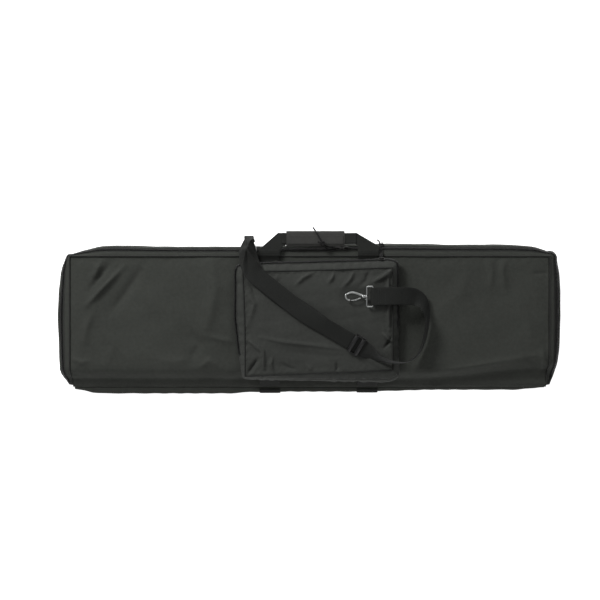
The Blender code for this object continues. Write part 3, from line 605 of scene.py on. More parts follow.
PANEL_DEPTH, POCKET_DEPTH = 1.25, 1.45      # how strongly the folds below are drawn
FRONT_FOLDS = (
    # line, width, height, sharpness
    (((-0.4586, 0.1235), (-0.4650, 0.1040), (-0.4738, 0.0843)), 0.0080, 0.0052, 0.6),
    (((-0.4350, 0.1190), (-0.4600, 0.0900), (-0.4800, 0.0600)), 0.0070, -0.0040, 0.3),
    (((-0.4085, 0.1126), (-0.4450, 0.0740), (-0.4869, 0.0299)), 0.0085, 0.0062, 0.9),
    (((-0.4740, 0.0180), (-0.4900, -0.0200), (-0.4960, -0.0640)), 0.0120, 0.0040, 0.6),
    (((-0.3650, 0.1180), (-0.3950, 0.0700), (-0.4350, 0.0150)), 0.0140, -0.0042, 0.6),
    (((-0.4600, -0.0200), (-0.4300, -0.0600), (-0.4450, -0.0950)), 0.0120, 0.0022, 0.5),
    (((-0.2257, -0.0398), (-0.1960, -0.0490), (-0.1669, -0.0550)), 0.0065, 0.0026, 0.6),
    (((-0.2100, 0.1180), (-0.2000, 0.0600), (-0.2120, 0.0000), (-0.2300, -0.0600)), 0.0200, 0.0046, -0.6),
    (((-0.2700, -0.0300), (-0.2450, -0.0600), (-0.2650, -0.0950)), 0.0140, -0.0038, 0.5),
    (((-0.2388, -0.1105), (-0.2200, -0.0960), (-0.1999, -0.1100)), 0.0080, 0.0044, 0.4),
    (((0.2619, -0.1181), (0.4000, -0.0950), (0.5187, -0.0746)), 0.0085, 0.0026, -0.7),
    (((0.4860, 0.0952), (0.5070, 0.0968), (0.5200, 0.0950)), 0.0035, -0.0026, 0.3),
    (((0.3860, 0.1290), (0.3940, 0.1000), (0.3900, 0.0640)), 0.0085, 0.0026, 0.5),
    (((0.4260, 0.1280), (0.4220, 0.0980), (0.4300, 0.0600)), 0.0085, 0.0026, -0.5),
    (((0.3000, 0.0200), (0.3300, 0.0500), (0.3500, 0.1000)), 0.0200, 0.0020, 0.5),
    (((0.4300, 0.0200), (0.4700, -0.0100), (0.4800, -0.0500)), 0.0180, 0.0022, 0.5),
    (((0.5040, -0.0700), (0.5110, -0.0960), (0.5060, -0.1200)), 0.0065, 0.0038, 0.2),
    (((0.4750, -0.0880), (0.4980, -0.1040), (0.5190, -0.1000)), 0.0070, -0.0036, 0.2),
    (((-0.5180, -0.0900), (-0.4980, -0.1000), (-0.4800, -0.0960)), 0.0070, 0.0030, 0.5),
    (((-0.3400, -0.0900), (-0.3000, -0.0990), (-0.2600, -0.0930)), 0.0100, 0.0020, 0.4),
)


def front_surface(x, y):
    """Height of the front panel: profile, padding between the seams, folds and puckers."""
    z = profile(x, y)
    edge_x, edge_y = HALF_X - np.abs(x), TOP_Y - y
    plump = 0.0016 * ease(edge_x / 0.030) * ease(edge_y / 0.022) - 0.0016
    z = z + plump * (y > -0.125)
    under_pocket = (ease((x + 0.175) / 0.02) * ease((0.205 - x) / 0.02) * ease((0.135 - y) / 0.015))
    free = 1.0 - under_pocket * ease((y + 0.150) / 0.02)
    relief = PANEL_DEPTH * sum(crease(x, y, *fold[:3], sharp=fold[3]) for fold in FRONT_FOLDS)
    relief = relief + 0.0013 * soft_noise(x, y, 0.130, 3) + 0.00045 * soft_noise(x, y, 0.040, 4)
    near_seam = np.exp(-np.minimum(edge_x, edge_y) / 0.010)
    relief = relief + near_seam * 0.0012 * soft_noise(x * 2.2, y * 2.2, 0.040, 5)
    roll = np.exp(-((y + 0.128) / 0.012) ** 2)
    relief = relief + roll * 0.0016 * soft_noise(x, y * 0.2, 0.070, 6)
    hold = ease(edge_x / 0.006) * ease(edge_y / 0.005) * ease((y - HINGE_Y) / 0.006)
    return z + relief * hold * (0.15 + 0.85 * free)


def front_points(nx, rows):
    xs = np.linspace(-HALF_X, HALF_X, nx)
    x, y = np.meshgrid(xs, rows, indexing="ij")
    return np.stack([x, y, front_surface(x, y)], -1)


PANEL_ROWS = np.concatenate([np.linspace(TOP_Y, -0.100, 78), np.linspace(-0.1022, HINGE_Y, 30)])


def front_panel():
    """Cover, padding and lining of the lid, with two stitched rows along the hem."""
    points = front_points(300, PANEL_ROWS)
    thick_grid("front_cover", points, FABRIC, "fabric", "lid", ("front_panel",), flip=True)
    foam = points[::4, 2:-8:3].copy()
    foam[..., 0] *= 0.988
    foam[..., 2] -= 0.0062
    pad = thick_grid("front_padding", foam, 0.0048, "foam", "lid", ("front_foam",), flip=True)
    inner = points[::4, 3:-10:3].copy()
    inner[..., 0] *= 0.985
    inner[..., 2] -= 0.0118 + 0.0006 * soft_noise(inner[..., 0], inner[..., 1], 0.06, 11)
    thick_grid("front_lining_cloth", inner, 0.0008, "lining", "lid", ("front_lining",), flip=True)
    xs = np.linspace(-0.515, 0.515, 170)
    for y, up in ((-0.1462, (0, -0.4, 1)), (-0.1482, (0, -0.4, 1))):
        rows = [(x, y, float(front_surface(np.array(x), np.array(y))) + 0.0001) for x in xs]
        stitch_row("lid", rows, up)


def rear_panel():
    """Cover, padding and lining of the shell, dished round the webbing."""
    x, y = np.meshgrid(np.linspace(-HALF_X, HALF_X, 180), np.linspace(BOTTOM_Y, TOP_Y, 56),
                       indexing="ij")
    edge = np.minimum(HALF_X - np.abs(x), np.minimum(TOP_Y - y, y - BOTTOM_Y))
    z = 0.0016 * (1 - ease(edge / 0.012))
    for centre in WEB_X.values():
        z = np.maximum(z, 0.0021 * ease((0.028 - np.abs(x - centre)) / 0.004))
    z = z + 0.0007 + 0.0003 * soft_noise(x, y, 0.09, 12)
    points = np.stack([x, y, z], -1)
    thick_grid("rear_cover", points, 0.0012, "fabric", "rear_shell", ("rear_panel",), flip=True)
    x, y = x[::3, 2:-2:2] * 0.985, y[::3, 2:-2:2]
    puff = 0.0009 * soft_noise(x, y, 0.06, 13)
    low = np.stack([x, y, np.full_like(x, 0.0040)], -1)
    pad = thick_grid("rear_padding", low, 0.0078, "foam", "rear_shell", ("rear_foam",), flip=True)
    top = np.stack([x * 0.997, y, 0.0128 + puff + 0.0009], -1)
    thick_grid("rear_lining_cloth", top, 0.0008, "lining", "rear_shell", ("rear_lining",))


END_Y = (-0.1485, -0.1400, -0.1300, -0.1180, -0.1000, -0.0700, 0.0, 0.0600, 0.1000, 0.1200, 0.1334)
END_OUT = {-1: (0.0090, 0.0145, 0.0220, 0.0270, 0.0272, 0.0288, 0.0317, 0.0283, 0.0240, 0.0184, 0.0105),
           1: (0.0075, 0.0118, 0.0168, 0.0205, 0.0228, 0.0264, 0.0290, 0.0288, 0.0256, 0.0222, 0.0213)}
TOP_RUN = ((-0.5226, 0.0050), (-0.5000, 0.0125), (-0.4800, 0.0182), (-0.4600, 0.0236), (-0.4300, 0.0256),
           (-0.3950, 0.0250), (-0.3500, 0.0230), (-0.1300, 0.0228), (0.0000, 0.0256), (0.0800, 0.0282),
           (0.1770, 0.0292), (0.2210, 0.0292), (0.3090, 0.0270), (0.4410, 0.0272), (0.4850, 0.0240),
           (0.5000, 0.0200), (0.5226, 0.0115))


def top_bulge(x):
    """How far the top of the case stands out beyond its seam."""
    return float(np.interp(x, [p[0] for p in TOP_RUN], [p[1] for p in TOP_RUN]))


def gusset_stations():
    """Seam point, outward direction, bulge and height round the three zipped sides."""
    edge, top, sides = HALF_X + GAP, TOP_Y + GAP, {}
    for sign in (-1, 1):
        rows = [(sign * edge, y, sign, 0.0, float(np.interp(y, END_Y, END_OUT[sign])),
                 float(profile(sign * 0.45, y))) for y in np.linspace(-0.1485, top - 0.001, 34)]
        for k in range(1, 6):
            a, t = math.radians(90 * k / 6), k / 6
            bulge = END_OUT[sign][-1] * (1 - t) + top_bulge(sign * edge) * t
            rows.append((sign * edge, top, sign * math.cos(a), math.sin(a), bulge, FRONT_Z))
        for x in np.linspace(edge - 0.0006, 0.0, 48):
            rows.append((sign * x, top, 0.0, 1.0, top_bulge(sign * x), FRONT_Z))
        sides[sign] = rows
    return sides[-1] + sides[1][-2::-1]


def resample(stations, step):
    """Stations at most step apart, the direction kept at unit length."""
    data = np.array(stations, float)
    found = [data[0]]
    for a, b in zip(data, data[1:]):
        parts = max(1, int(math.ceil(np.linalg.norm(b[:2] - a[:2]) / step)))
        found += [a + (b - a) * k / parts for k in range(1, parts + 1)]
    found = np.array(found)
    found[:, 2:4] /= np.linalg.norm(found[:, 2:4], axis=1, keepdims=True)
    moved = np.linalg.norm(np.diff(found[:, :2] + found[:, 2:4] * 0.02, axis=0), axis=1)
    return np.concatenate([[0], np.cumsum(moved)]), found


def places_along(point, up, pitch, first, spare):
    """Evenly spaced places on a line of points: centre, along, across, up."""
    run = np.concatenate([[0], np.cumsum(np.linalg.norm(np.diff(point, axis=0), axis=1))])
    found, along = [], np.gradient(point, axis=0)
    for s in np.arange(first, run[-1] - spare, pitch):
        p, t, n = (Vector([float(np.interp(s, run, data[:, k])) for k in range(3)])
                   for data in (point, along, up))
        t.normalize()
        n = (n - t * n.dot(t)).normalized()
        found.append((p, t, n.cross(t), n))
    return found


class Gusset:
    """The bulging zipped side, as a surface over the run along it and the angle round it."""

    def __init__(self, step):
        self.run, self.rows = resample(gusset_stations(), step)

    def at(self, degrees, proud=0.0, wrinkle=1.0, base=0.0040):
        a = math.radians(degrees)
        x, y, ox, oy, bulge, top = self.rows.T
        top = top - 0.0002
        middle, half = (top + base) / 2, (top - base) / 2
        ripple = (soft_noise(self.run, self.run * 0 + degrees / 400, 0.110, 20)
                  + 0.5 * soft_noise(self.run, self.run * 0 + degrees / 400, 0.045, 21))
        pinch = np.exp(-(bulge - 0.004) / 0.009)
        relief = 0.0006 + 0.0012 * pinch
        free = min(abs(degrees - ZIP_ANGLE) / 30.0, 1.0, (degrees + 90) / 30.0)
        shift = proud + wrinkle * free * relief * ripple * math.cos(a) ** 0.5
        nu, nv = math.cos(a) / bulge, math.sin(a) / half
        size = np.hypot(nu, nv)
        u, v = bulge * math.cos(a) + nu / size * shift, middle + half * math.sin(a) + nv / size * shift
        point = np.stack([x + ox * u, y + oy * u, v], 1)
        up = np.stack([ox * nu / size, oy * nu / size, nv / size], 1)
        return point, up

    def strip(self, name, low, high, steps, thickness, finish, body, replaces, proud=0.0):
        points = np.stack([self.at(low + (high - low) * k / steps, proud)[0]
                           for k in range(steps + 1)], 1)
        return thick_grid(name, points, thickness, finish, body, replaces, flip=True)

    def seats(self, degrees, offset):
        point, up = self.at(degrees, 0.0004, 0.0)
        return places_along(point, up, TEETH_PITCH, offset + 0.006, 0.006)


def gussets():
    """Cloth, tape and teeth either side of the zip line, stitching and seam bindings."""
    fine = Gusset(0.0075)
    z = ZIP_ANGLE
    fine.strip("rear_side_cloth", -86, z - 14.0, 16, FABRIC, "fabric", "rear_shell", ("rear_gusset",))
    fine.strip("rear_side_tape", z - 15.0, z - 0.5, 3, 0.0008, "tape", "rear_shell",
               ("rear_zip_tape",), -0.0008)
    fine.strip("front_side_cloth", z + 14.0, 88, 5, FABRIC, "fabric", "lid", ("front_gusset",))
    fine.strip("front_side_tape", z + 0.5, z + 15.0, 3, 0.0008, "tape", "lid",
               ("front_zip_tape",), -0.0008)
    teeth("rear_zip_teeth", fine.seats(z - 2.2, 0.0), "rear_shell", ("rear_zip_coil",),
          0.0017, 0.0013, 0.0017)
    teeth("front_zip_teeth", fine.seats(z + 2.2, TEETH_PITCH / 2), "lid", ("front_zip_coil",),
          0.0017, 0.0013, 0.0017)
    for body, degrees in (("rear_shell", z - 14.8), ("lid", z + 15.0)):
        point, up = fine.at(degrees, 0.0003)
        stitch_row(body, point, [Vector(n) for n in up])
    for name, body, height, edge in (("front_seam_binding", "lid", None, 0.0008),
                                     ("rear_seam_binding", "rear_shell", 0.0026, 0.0006)):
        x, y, ox, oy, _, top = fine.rows.T
        path = np.stack([x + ox * edge, y + oy * edge, top + 0.0002 if height is None
                         else np.full_like(x, height)], 1)
        tube(name, path, 0.0014, "piping", body, sides=8)


BOTTOM_SLACK = ((-0.5190, 0.0030), (-0.4830, 0.0082), (-0.1750, 0.0082), (-0.1310, 0.0050), (-0.0430, 0.0042),
                (0.1000, 0.0042), (0.1770, 0.0026), (0.2650, 0.0))


def bottom_reach(x):
    """How far the bottom strip stands out: pinched at the ends, and slacker to the left."""
    reach = 0.0042 + 0.0050 * float(ease((0.519 - abs(x)) / 0.070))
    return reach + float(np.interp(x, [p[0] for p in BOTTOM_SLACK], [p[1] for p in BOTTOM_SLACK]))


def bottom_edge():
    """The narrow strip of bottom gusset, puckered and pinched in at both ends."""
    xs = np.linspace(-0.519, 0.519, 240)
    rings = []
    for x in xs:
        full = bottom_reach(x)
        full += 0.0004 * math.sin(x * 2 * math.pi / 0.043 + 2 * math.sin(x * 23))
        row = []
        for k in range(13):
            a = math.radians(-84 + 168 * k / 12)
            row.append((x, BOTTOM_Y - 0.0008 - full * math.cos(a), 0.0111 + 0.0080 * math.sin(a)))
        rings.append(row)
    thick_grid("bottom_side_cloth", np.array(rings), 0.0012, "fabric", "rear_shell",
               ("bottom_gusset",))


def webbing_runs():
    """Two webbings round the case: front, bottom and rear lengths of each."""
    side = Vector((1.0, 0.0, 0.0))
    for which, x in WEB_X.items():
        ys = np.concatenate([np.linspace(TOP_Y - 0.0005, -0.100, 40), np.linspace(-0.1025, -0.1515, 22)])
        z = profile(np.full_like(ys, x), ys) + 0.0012
        edge = np.maximum(z, np.minimum(cad_front_height(ys), FRONT_Z) + 0.0004 * (ys > -0.11))
        band("front_band_" + which, [Vector((x, y, h)) for y, h in zip(ys, edge)], [side] * len(ys),
             WEB_W, 0.0015, "webbing", "lid", ("front_webbing_" + which,), 11)
        for dx in (-1, 1):
            rows = [(x + dx * (WEB_W / 2 - 0.0030), y, h + 0.0009) for y, h in zip(ys, edge)]
            stitch_row("lid", rows[38:], (0, -0.3, 1))
        reach = bottom_reach(x) + 0.0020
        path = [Vector((x, BOTTOM_Y - 0.0008 - reach * math.cos(a), 0.0111 + 0.0092 * math.sin(a)))
                for a in np.radians(np.linspace(-78, 66, 22))]
        band("bottom_band_" + which, path, [side] * len(path), WEB_W, 0.0014, "webbing", "rear_shell",
             ("bottom_webbing_" + which,), 11)
        path = [Vector((x, y, 0.0009)) for y in np.linspace(BOTTOM_Y + 0.002, TOP_Y - 0.001, 60)]
        band("rear_band_" + which, path, [side] * len(path), WEB_W, 0.0015, "webbing", "rear_shell",
             ("rear_webbing_" + which,), 11)


# ---- pocket -------------------------------------------------------------------------
FACE_CORNERS = {"tl": (-0.1436, 0.0985), "tr": (0.1772, 0.1075), "bl": (-0.1385, -0.1250),
                "br": (0.1779, -0.1118)}
POCKET_FOLDS = (
    (((-0.1349, -0.0480), (-0.1040, -0.0720), (-0.1010, -0.1074)), 0.0050, 0.0062, 0.9),
    (((-0.1134, -0.0880), (-0.1240, -0.1020), (-0.1330, -0.1180)), 0.0048, -0.0050, 0.7),
    (((-0.0823, -0.0850), (-0.0850, -0.1000), (-0.0800, -0.1170)), 0.0044, 0.0034, 0.7),
    (((-0.0600, -0.1000), (-0.0450, -0.1080), (-0.0300, -0.1120)), 0.0040, -0.0024, 0.5),
    (((0.0562, -0.0960), (0.0590, -0.1060), (0.0540, -0.1130)), 0.0035, -0.0030, 0.6),
    (((-0.0050, -0.1020), (0.0000, -0.1090), (0.0060, -0.1140)), 0.0040, 0.0022, 0.6),
    (((-0.1048, -0.0440), (-0.0554, -0.0540), (0.0304, -0.0630), (0.0819, -0.0700)), 0.0050, 0.0028, 0.8),
    (((-0.0700, -0.0700), (0.0000, -0.0820), (0.0700, -0.0860)), 0.0120, -0.0022, 0.4),
    (((0.0040, 0.0980), (-0.0160, 0.0880), (-0.0305, 0.0740)), 0.0052, 0.0036, 0.8),
    (((0.0497, 0.0990), (0.0470, 0.0890), (0.0392, 0.0764)), 0.0048, 0.0034, 0.8),
    (((0.0927, 0.1010), (0.0850, 0.0850), (0.0714, 0.0700)), 0.0055, 0.0036, 0.8),
    (((0.1250, 0.1000), (0.1200, 0.0820), (0.1060, 0.0700)), 0.0060, -0.0026, 0.6),
    (((-0.0700, 0.0940), (-0.0780, 0.0800), (-0.0900, 0.0680)), 0.0060, 0.0024, 0.7),
    (((0.1779, 0.1060), (0.1600, 0.0940), (0.1400, 0.0820)), 0.0055, 0.0064, 1.0),
    (((0.1670, 0.0900), (0.1655, 0.0400), (0.1690, -0.0250)), 0.0046, 0.0048, 0.9),
    (((0.1740, 0.0850), (0.1735, 0.0300), (0.1745, -0.0250)), 0.0030, -0.0040, 0.5),
    (((0.1580, -0.0360), (0.1690, -0.0480), (0.1765, -0.0540)), 0.0042, 0.0052, 0.9),
    (((0.1620, -0.0640), (0.1690, -0.0560), (0.1770, -0.0400)), 0.0036, -0.0046, 0.7),
    (((0.1163, -0.0765), (0.1480, -0.0960), (0.1779, -0.1100)), 0.0070, 0.0050, -1.0),
    (((-0.1400, 0.0600), (-0.1220, 0.0300), (-0.1330, -0.0100)), 0.0070, 0.0026, 0.6),
    (((-0.1350, 0.0800), (-0.1240, 0.0640), (-0.1180, 0.0420)), 0.0055, -0.0024, 0.6),
)
STRAP_LINE = ((-0.130, 0.110), (-0.092, 0.072), (0.008, -0.0035), (0.118, -0.068), (0.150, -0.086))


HOOK_DENT = ((0.060, 0.046), (0.086, 0.046), (0.118, 0.046), (0.142, 0.046))


def pocket_face_points(nu, nv):
    u, v = np.meshgrid(np.linspace(0, 1, nu), np.linspace(0, 1, nv), indexing="ij")
    c = {k: np.array(p) for k, p in FACE_CORNERS.items()}
    top = c["tl"] + (c["tr"] - c["tl"]) * u[..., None]
    low = c["bl"] + (c["br"] - c["bl"]) * u[..., None]
    flat = low + (top - low) * v[..., None]
    x, y = flat[..., 0], flat[..., 1]
    y = y - 0.0012 * np.sin(math.pi * u) * (v > 0.5) * ease(v * 2 - 1)
    x = x + 0.0020 * np.sin(math.pi * v) * ease(1 - u * 3)
    edge = np.minimum(np.minimum(u, 1 - u) * 0.31, np.minimum(v, 1 - v) * 0.22)
    crown = 0.0036 * ease(edge / 0.045) - 0.0016
    strap = crease(x, y, STRAP_LINE, 0.026, 1.0)
    relief = POCKET_DEPTH * sum(crease(x, y, *fold[:3], sharp=fold[3]) for fold in POCKET_FOLDS)
    relief = relief + 0.0012 * soft_noise(x, y, 0.08, 31) + 0.0004 * soft_noise(x, y, 0.026, 32)
    relief = relief + 0.0012 * np.exp(-edge / 0.010) * soft_noise(x * 2, y * 2, 0.035, 33)
    relief = np.where(relief > 0, relief * (1 - 0.85 * np.clip(strap * 1.3, 0, 1)), relief)
    z = POCKET_Z + crown + relief * ease(edge / 0.004) - 0.0030 * np.clip(strap, 0, 1)
    z = z - crease(x, y, HOOK_DENT, 0.015, 0.0050)
    near_strap = np.clip(strap * 1.6, 0, 1)
    ceiling = 0.0905 * near_strap + 0.0945 * (1 - near_strap)
    knee = ceiling - 0.001
    return np.stack([x, y, np.where(z > knee, knee + 0.001 * np.tanh((z - knee) / 0.001), z)], -1)


def border(grid):
    """The grid's outline, anticlockwise from the bottom left, with its outward directions."""
    path = np.concatenate([grid[:, 0], grid[-1, 1:], grid[-2::-1, -1], grid[0, -2:0:-1]])
    t = np.roll(path, -6, 0) - np.roll(path, 6, 0)
    out = np.stack([t[:, 1], -t[:, 0]], 1)
    return path, out / np.linalg.norm(out, axis=1, keepdims=True)


class PocketWall:
    """The pocket's side, over the run round it and t from its foot, 0, to the face, 1."""

    def __init__(self, grid):
        self.seam, self.out = border(grid)
        x, y = self.out.T
        right, left = np.clip(x, 0, 1) ** 2, np.clip(-x, 0, 1) ** 2
        top, low = np.clip(y, 0, 1) ** 2, np.clip(-y, 0, 1) ** 2
        left = left * np.interp(self.seam[:, 1], (-0.125, -0.063, 0.0, 0.075), (0.35, 0.78, 1.08, 0.88))
        low = low * np.interp(self.seam[:, 0], (-0.130, 0.178), (0.60, 1.70))
        self.foot = 0.005 * right + 0.0125 * left + 0.0125 * top + 0.0105 * low
        self.bulge = 0.0120 * right + 0.0165 * left + 0.0150 * top + 0.0115 * low
        self.run = np.concatenate([[0], np.cumsum(np.linalg.norm(np.diff(self.seam, axis=0), axis=1))])

    def at(self, t, proud=0.0, wrinkle=1.0):
        foot = self.seam[:, :2] + self.out * self.foot[:, None]
        base = profile(foot[:, 0], foot[:, 1]) + 0.0022
        top = self.seam[:, 2] - 0.0006
        rise = top - base
        ripple = soft_noise(self.run, self.run * 0 + t * 0.02, 0.030, 41)
        free = min(abs(t - 0.60) / 0.25, 1.0) * math.sin(math.pi * min(max(t, 0.02), 0.98)) ** 0.4
        shift = proud + wrinkle * free * 0.0022 * ripple
        away = self.foot * (1 - t) + (self.bulge) * math.sin(math.pi * t) ** 0.8
        slope_u = -self.foot + self.bulge * math.pi * 0.8 * math.cos(math.pi * t)
        nu, nv = rise, -slope_u
        size = np.hypot(nu, nv)
        away, z = away + nu / size * shift, base + rise * t + nv / size * shift
        point = np.concatenate([self.seam[:, :2] + self.out * away[:, None], z[:, None]], 1)
        up = np.concatenate([self.out * (nu / size)[:, None], (nv / size)[:, None]], 1)
        return point, up

    def strip(self, name, low, high, steps, thickness, finish, replaces, proud=0.0, part=None):
        points = np.stack([self.at(low + (high - low) * k / steps, proud)[0]
                           for k in range(steps + 1)], 1)
        if part is None:
            points = np.concatenate([points, points[:1]], 0)
        else:
            points = points[part]
        return thick_grid(name, points, thickness, finish, "lid", replaces, flip=False)

    def seats(self, t, offset, part):
        point, up = self.at(t, 0.0004, 0.0)
        return places_along(point[part], up[part], TEETH_PITCH, offset, 0.001)


def pocket():
    """Face, wall in strips, zip, bindings and stitching, all on the lid; the foot binding is drawn dark and
    thick as painted shadow along the pocket's foot.
    """
    grid = pocket_face_points(150, 104)
    thick_grid("pocket_face", grid, 0.0013, "pocket", "lid", ("pocket_panel",), flip=False)
    wall = PocketWall(grid)
    count = len(wall.seam)
    right_side = (wall.out[:, 0] > 0.7) & (wall.seam[:, 1] > -0.022)
    left_side = (wall.out[:, 0] < -0.7) & (wall.seam[:, 1] > -0.080)
    zipped = right_side | left_side | (wall.out[:, 1] > 0.3)
    first = int(np.argmax(zipped))
    last = count - int(np.argmax(zipped[::-1]))
    part = np.arange(first, last)
    rest = np.arange(last - 1, first + count + 1) % count
    wall.strip("pocket_side_cloth", 0.0, 0.47, 7, FABRIC, "pocket", ("pocket_gusset",))
    wall.strip("pocket_rim_cloth", 0.73, 1.0, 5, FABRIC, "pocket", ("pocket_rim",))
    wall.strip("pocket_plain_cloth", 0.46, 0.74, 4, FABRIC, "pocket", (), -0.0002, rest)
    wall.strip("pocket_low_tape", 0.45, 0.605, 3, 0.0008, "tape", ("pocket_zip_tape",), -0.0008, part)
    wall.strip("pocket_high_tape", 0.62, 0.75, 3, 0.0008, "tape", ("pocket_rim_tape",), -0.0008, part)
    both = wall.seats(0.592, 0.0, part) + wall.seats(0.632, TEETH_PITCH / 2, part)
    teeth("pocket_zip_teeth", both, "lid", ("pocket_zip_coil",), 0.0015, 0.0013, 0.0015)
    for t in (0.455, 0.745):
        point, up = wall.at(t, 0.0003)
        stitch_row("lid", point, [Vector(n) for n in up])
    path = wall.seam + np.concatenate([wall.out * 0.0006, np.zeros((count, 1))], 1)
    tube("pocket_face_binding", path, 0.0015, "webbing", "lid", sides=8, cyclic=True)
    inset = wall.seam - np.concatenate([wall.out * 0.0034, np.zeros((count, 1))], 1)
    inset[:, 2] += 0.0007
    stitch_row("lid", np.concatenate([inset, inset[:1]]), (0, 0, 1))
    foot = wall.at(0.0, 0.0006, 0.0)[0]
    # partly a real binding, partly painted shadow: its dark webbing colour and extra thickness draw the shade
    # line where the pocket's side meets the panel
    tube("pocket_foot_binding_and_painted_shadow", foot, 0.0017, "webbing", "lid", sides=8, cyclic=True)


# ---- handles and rings --------------------------------------------------------------
GRIP_Y = (0.1605, 0.1845)


def handle(name, z, body, node_name, layers):
    """Two webbing legs folded over at a mitre into a half-width grip, with box stitching."""
    near, low, high = TOP_Y + 0.0016, *GRIP_Y
    inner_left, inner_right = WEB_X["left"] + WEB_W / 2, WEB_X["right"] - WEB_W / 2
    left, right = WEB_X["left"] - WEB_W / 2, WEB_X["right"] + WEB_W / 2
    legs = {
        "left": [(left, near), (inner_left, near), (inner_left + 0.0035, low - 0.0080),
                 (inner_left + 0.0110, low - 0.0010), (inner_left + 0.0080, high - 0.0008),
                 (inner_left - 0.0040, high), (left + 0.0010, near + 0.0140)],
        "right": [(inner_right, near), (right, near), (right - 0.0004, near + 0.0210),
                  (0.1010, high), (inner_right - 0.0100, high - 0.0008),
                  (inner_right - 0.0060, low - 0.0005), (inner_right - 0.0005, low - 0.0040)],
    }
    for side, outline in legs.items():
        slab(f"{name}_leg_{side}", outline, z - 0.0011, z + 0.0011, "webbing", body,
             (node_name,) if side == "left" else ())
        centre = Vector((sum(p[0] for p in outline) / 7, sum(p[1] for p in outline) / 7, 0))
        ring = [Vector((*p, z + 0.0012)) for p in outline]
        ring = [p + (Vector((centre.x, centre.y, p.z)) - p).normalized() * 0.0032 for p in ring]
        stitch_row(body, ring + ring[:1], (0, 0, 1))
    fold = [(-0.0600, low + 0.0006), (0.1010, low + 0.0006), (0.1010, high - 0.0006),
            (-0.0600, high - 0.0006)]
    xs = np.linspace(fold[0][0], fold[1][0], 90)
    for k, lift in enumerate(layers):
        path = [Vector((x, (low + high) / 2 + 0.0003 * math.sin(x * 60), z + lift)) for x in xs]
        band(f"{name}_grip_{k}", path, [Vector((0, 1, 0))] * len(xs), high - low - 0.0006, 0.0013,
             "webbing", body, (), 6)


def handle_risers():
    """Where the front handle's webbing leaves the panel: bent by the handle's swing."""
    rows = [(0.1150, 0.0584), (0.1200, 0.0586), (0.1250, 0.0592), (0.1290, 0.0608), (0.1330, 0.0632),
            (0.1370, 0.0652), (0.1410, 0.0663), (0.1450, 0.0666), (0.1480, 0.0667)]
    for side, x in WEB_X.items():
        path = [Vector(p) for p in smooth_path([(x, *row) for row in rows], 0.0020)]
        strap = band("front_riser_" + side, path, [Vector((1, 0, 0))] * len(path), WEB_W - 0.0006, 0.0013,
                     "webbing", None, (), 11)
        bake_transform(strap)
        edge = [Vector((x + dx, 0.1455, 0.0675)) for dx in np.linspace(-0.020, 0.020, 14)]
        stitch_row("front_handle", edge, (0, 0, 1))


def grip_wrap():
    """Padded cloth sleeve closed round the grip, with an overlapping flap and edge stitching."""
    middle = 0.1712
    xs = np.linspace(-0.0510, 0.0755, 80)
    count, rings = 40, []
    for x in xs:
        end = min(x - xs[0], xs[-1] - x)
        puff = 0.86 + 0.14 * float(ease(end / 0.010))
        row = []
        for k in range(count):
            a = 2 * math.pi * k / count
            c, s = math.cos(a), math.sin(a)
            squarer = 1.0 / max(abs(c), abs(s)) ** 0.45
            ripple = 1.0 + 0.035 * math.sin(x * 210 + 2.2 * math.sin(a * 2)) * abs(s)
            row.append((x, middle + 0.0172 * c * squarer, HANDLE_Z + 0.0050 * s * squarer * puff * ripple))
        rings.append(row)
    points = np.array(rings)
    verts = points.reshape(-1, 3)
    faces = grid_faces(len(xs), count, False, True).tolist()
    inner = (points - [[[0, middle, HANDLE_Z]]]) * [[[1, 0.90, 0.70]]] + [[[0, middle, HANDLE_Z]]]
    inner = inner[[0, 3, -4, -1]]
    base = len(verts)
    verts = np.concatenate([verts, inner.reshape(-1, 3)])
    faces += [tuple(base + i for i in f[::-1]) for f in grid_faces(4, count, False, True).tolist()]
    for outer, hole, turn in ((0, base, 1), ((len(xs) - 1) * count, base + 3 * count, -1)):
        for k in range(count):
            quad = (outer + k, hole + k, hole + (k + 1) % count, outer + (k + 1) % count)
            faces.append(quad[::turn])
    sleeve = piece("grip_wrap", verts, faces, "wrap", "front_handle", ("handle_wrap",))
    flap = [(-0.0480, middle - 0.0115), (0.0725, middle - 0.0115), (0.0725, middle + 0.0070),
            (-0.0480, middle + 0.0070)]
    slab("grip_wrap_flap", flap, HANDLE_Z + 0.0046, HANDLE_Z + 0.0062, "wrap", "front_handle")
    ring = [Vector((x + 0.002 * (1 if x < 0 else -1), y + 0.002 * (1 if y < middle else -1),
                    HANDLE_Z + 0.0063)) for x, y in flap]
    stitch_row("front_handle", ring + ring[:1], (0, 0, 1))


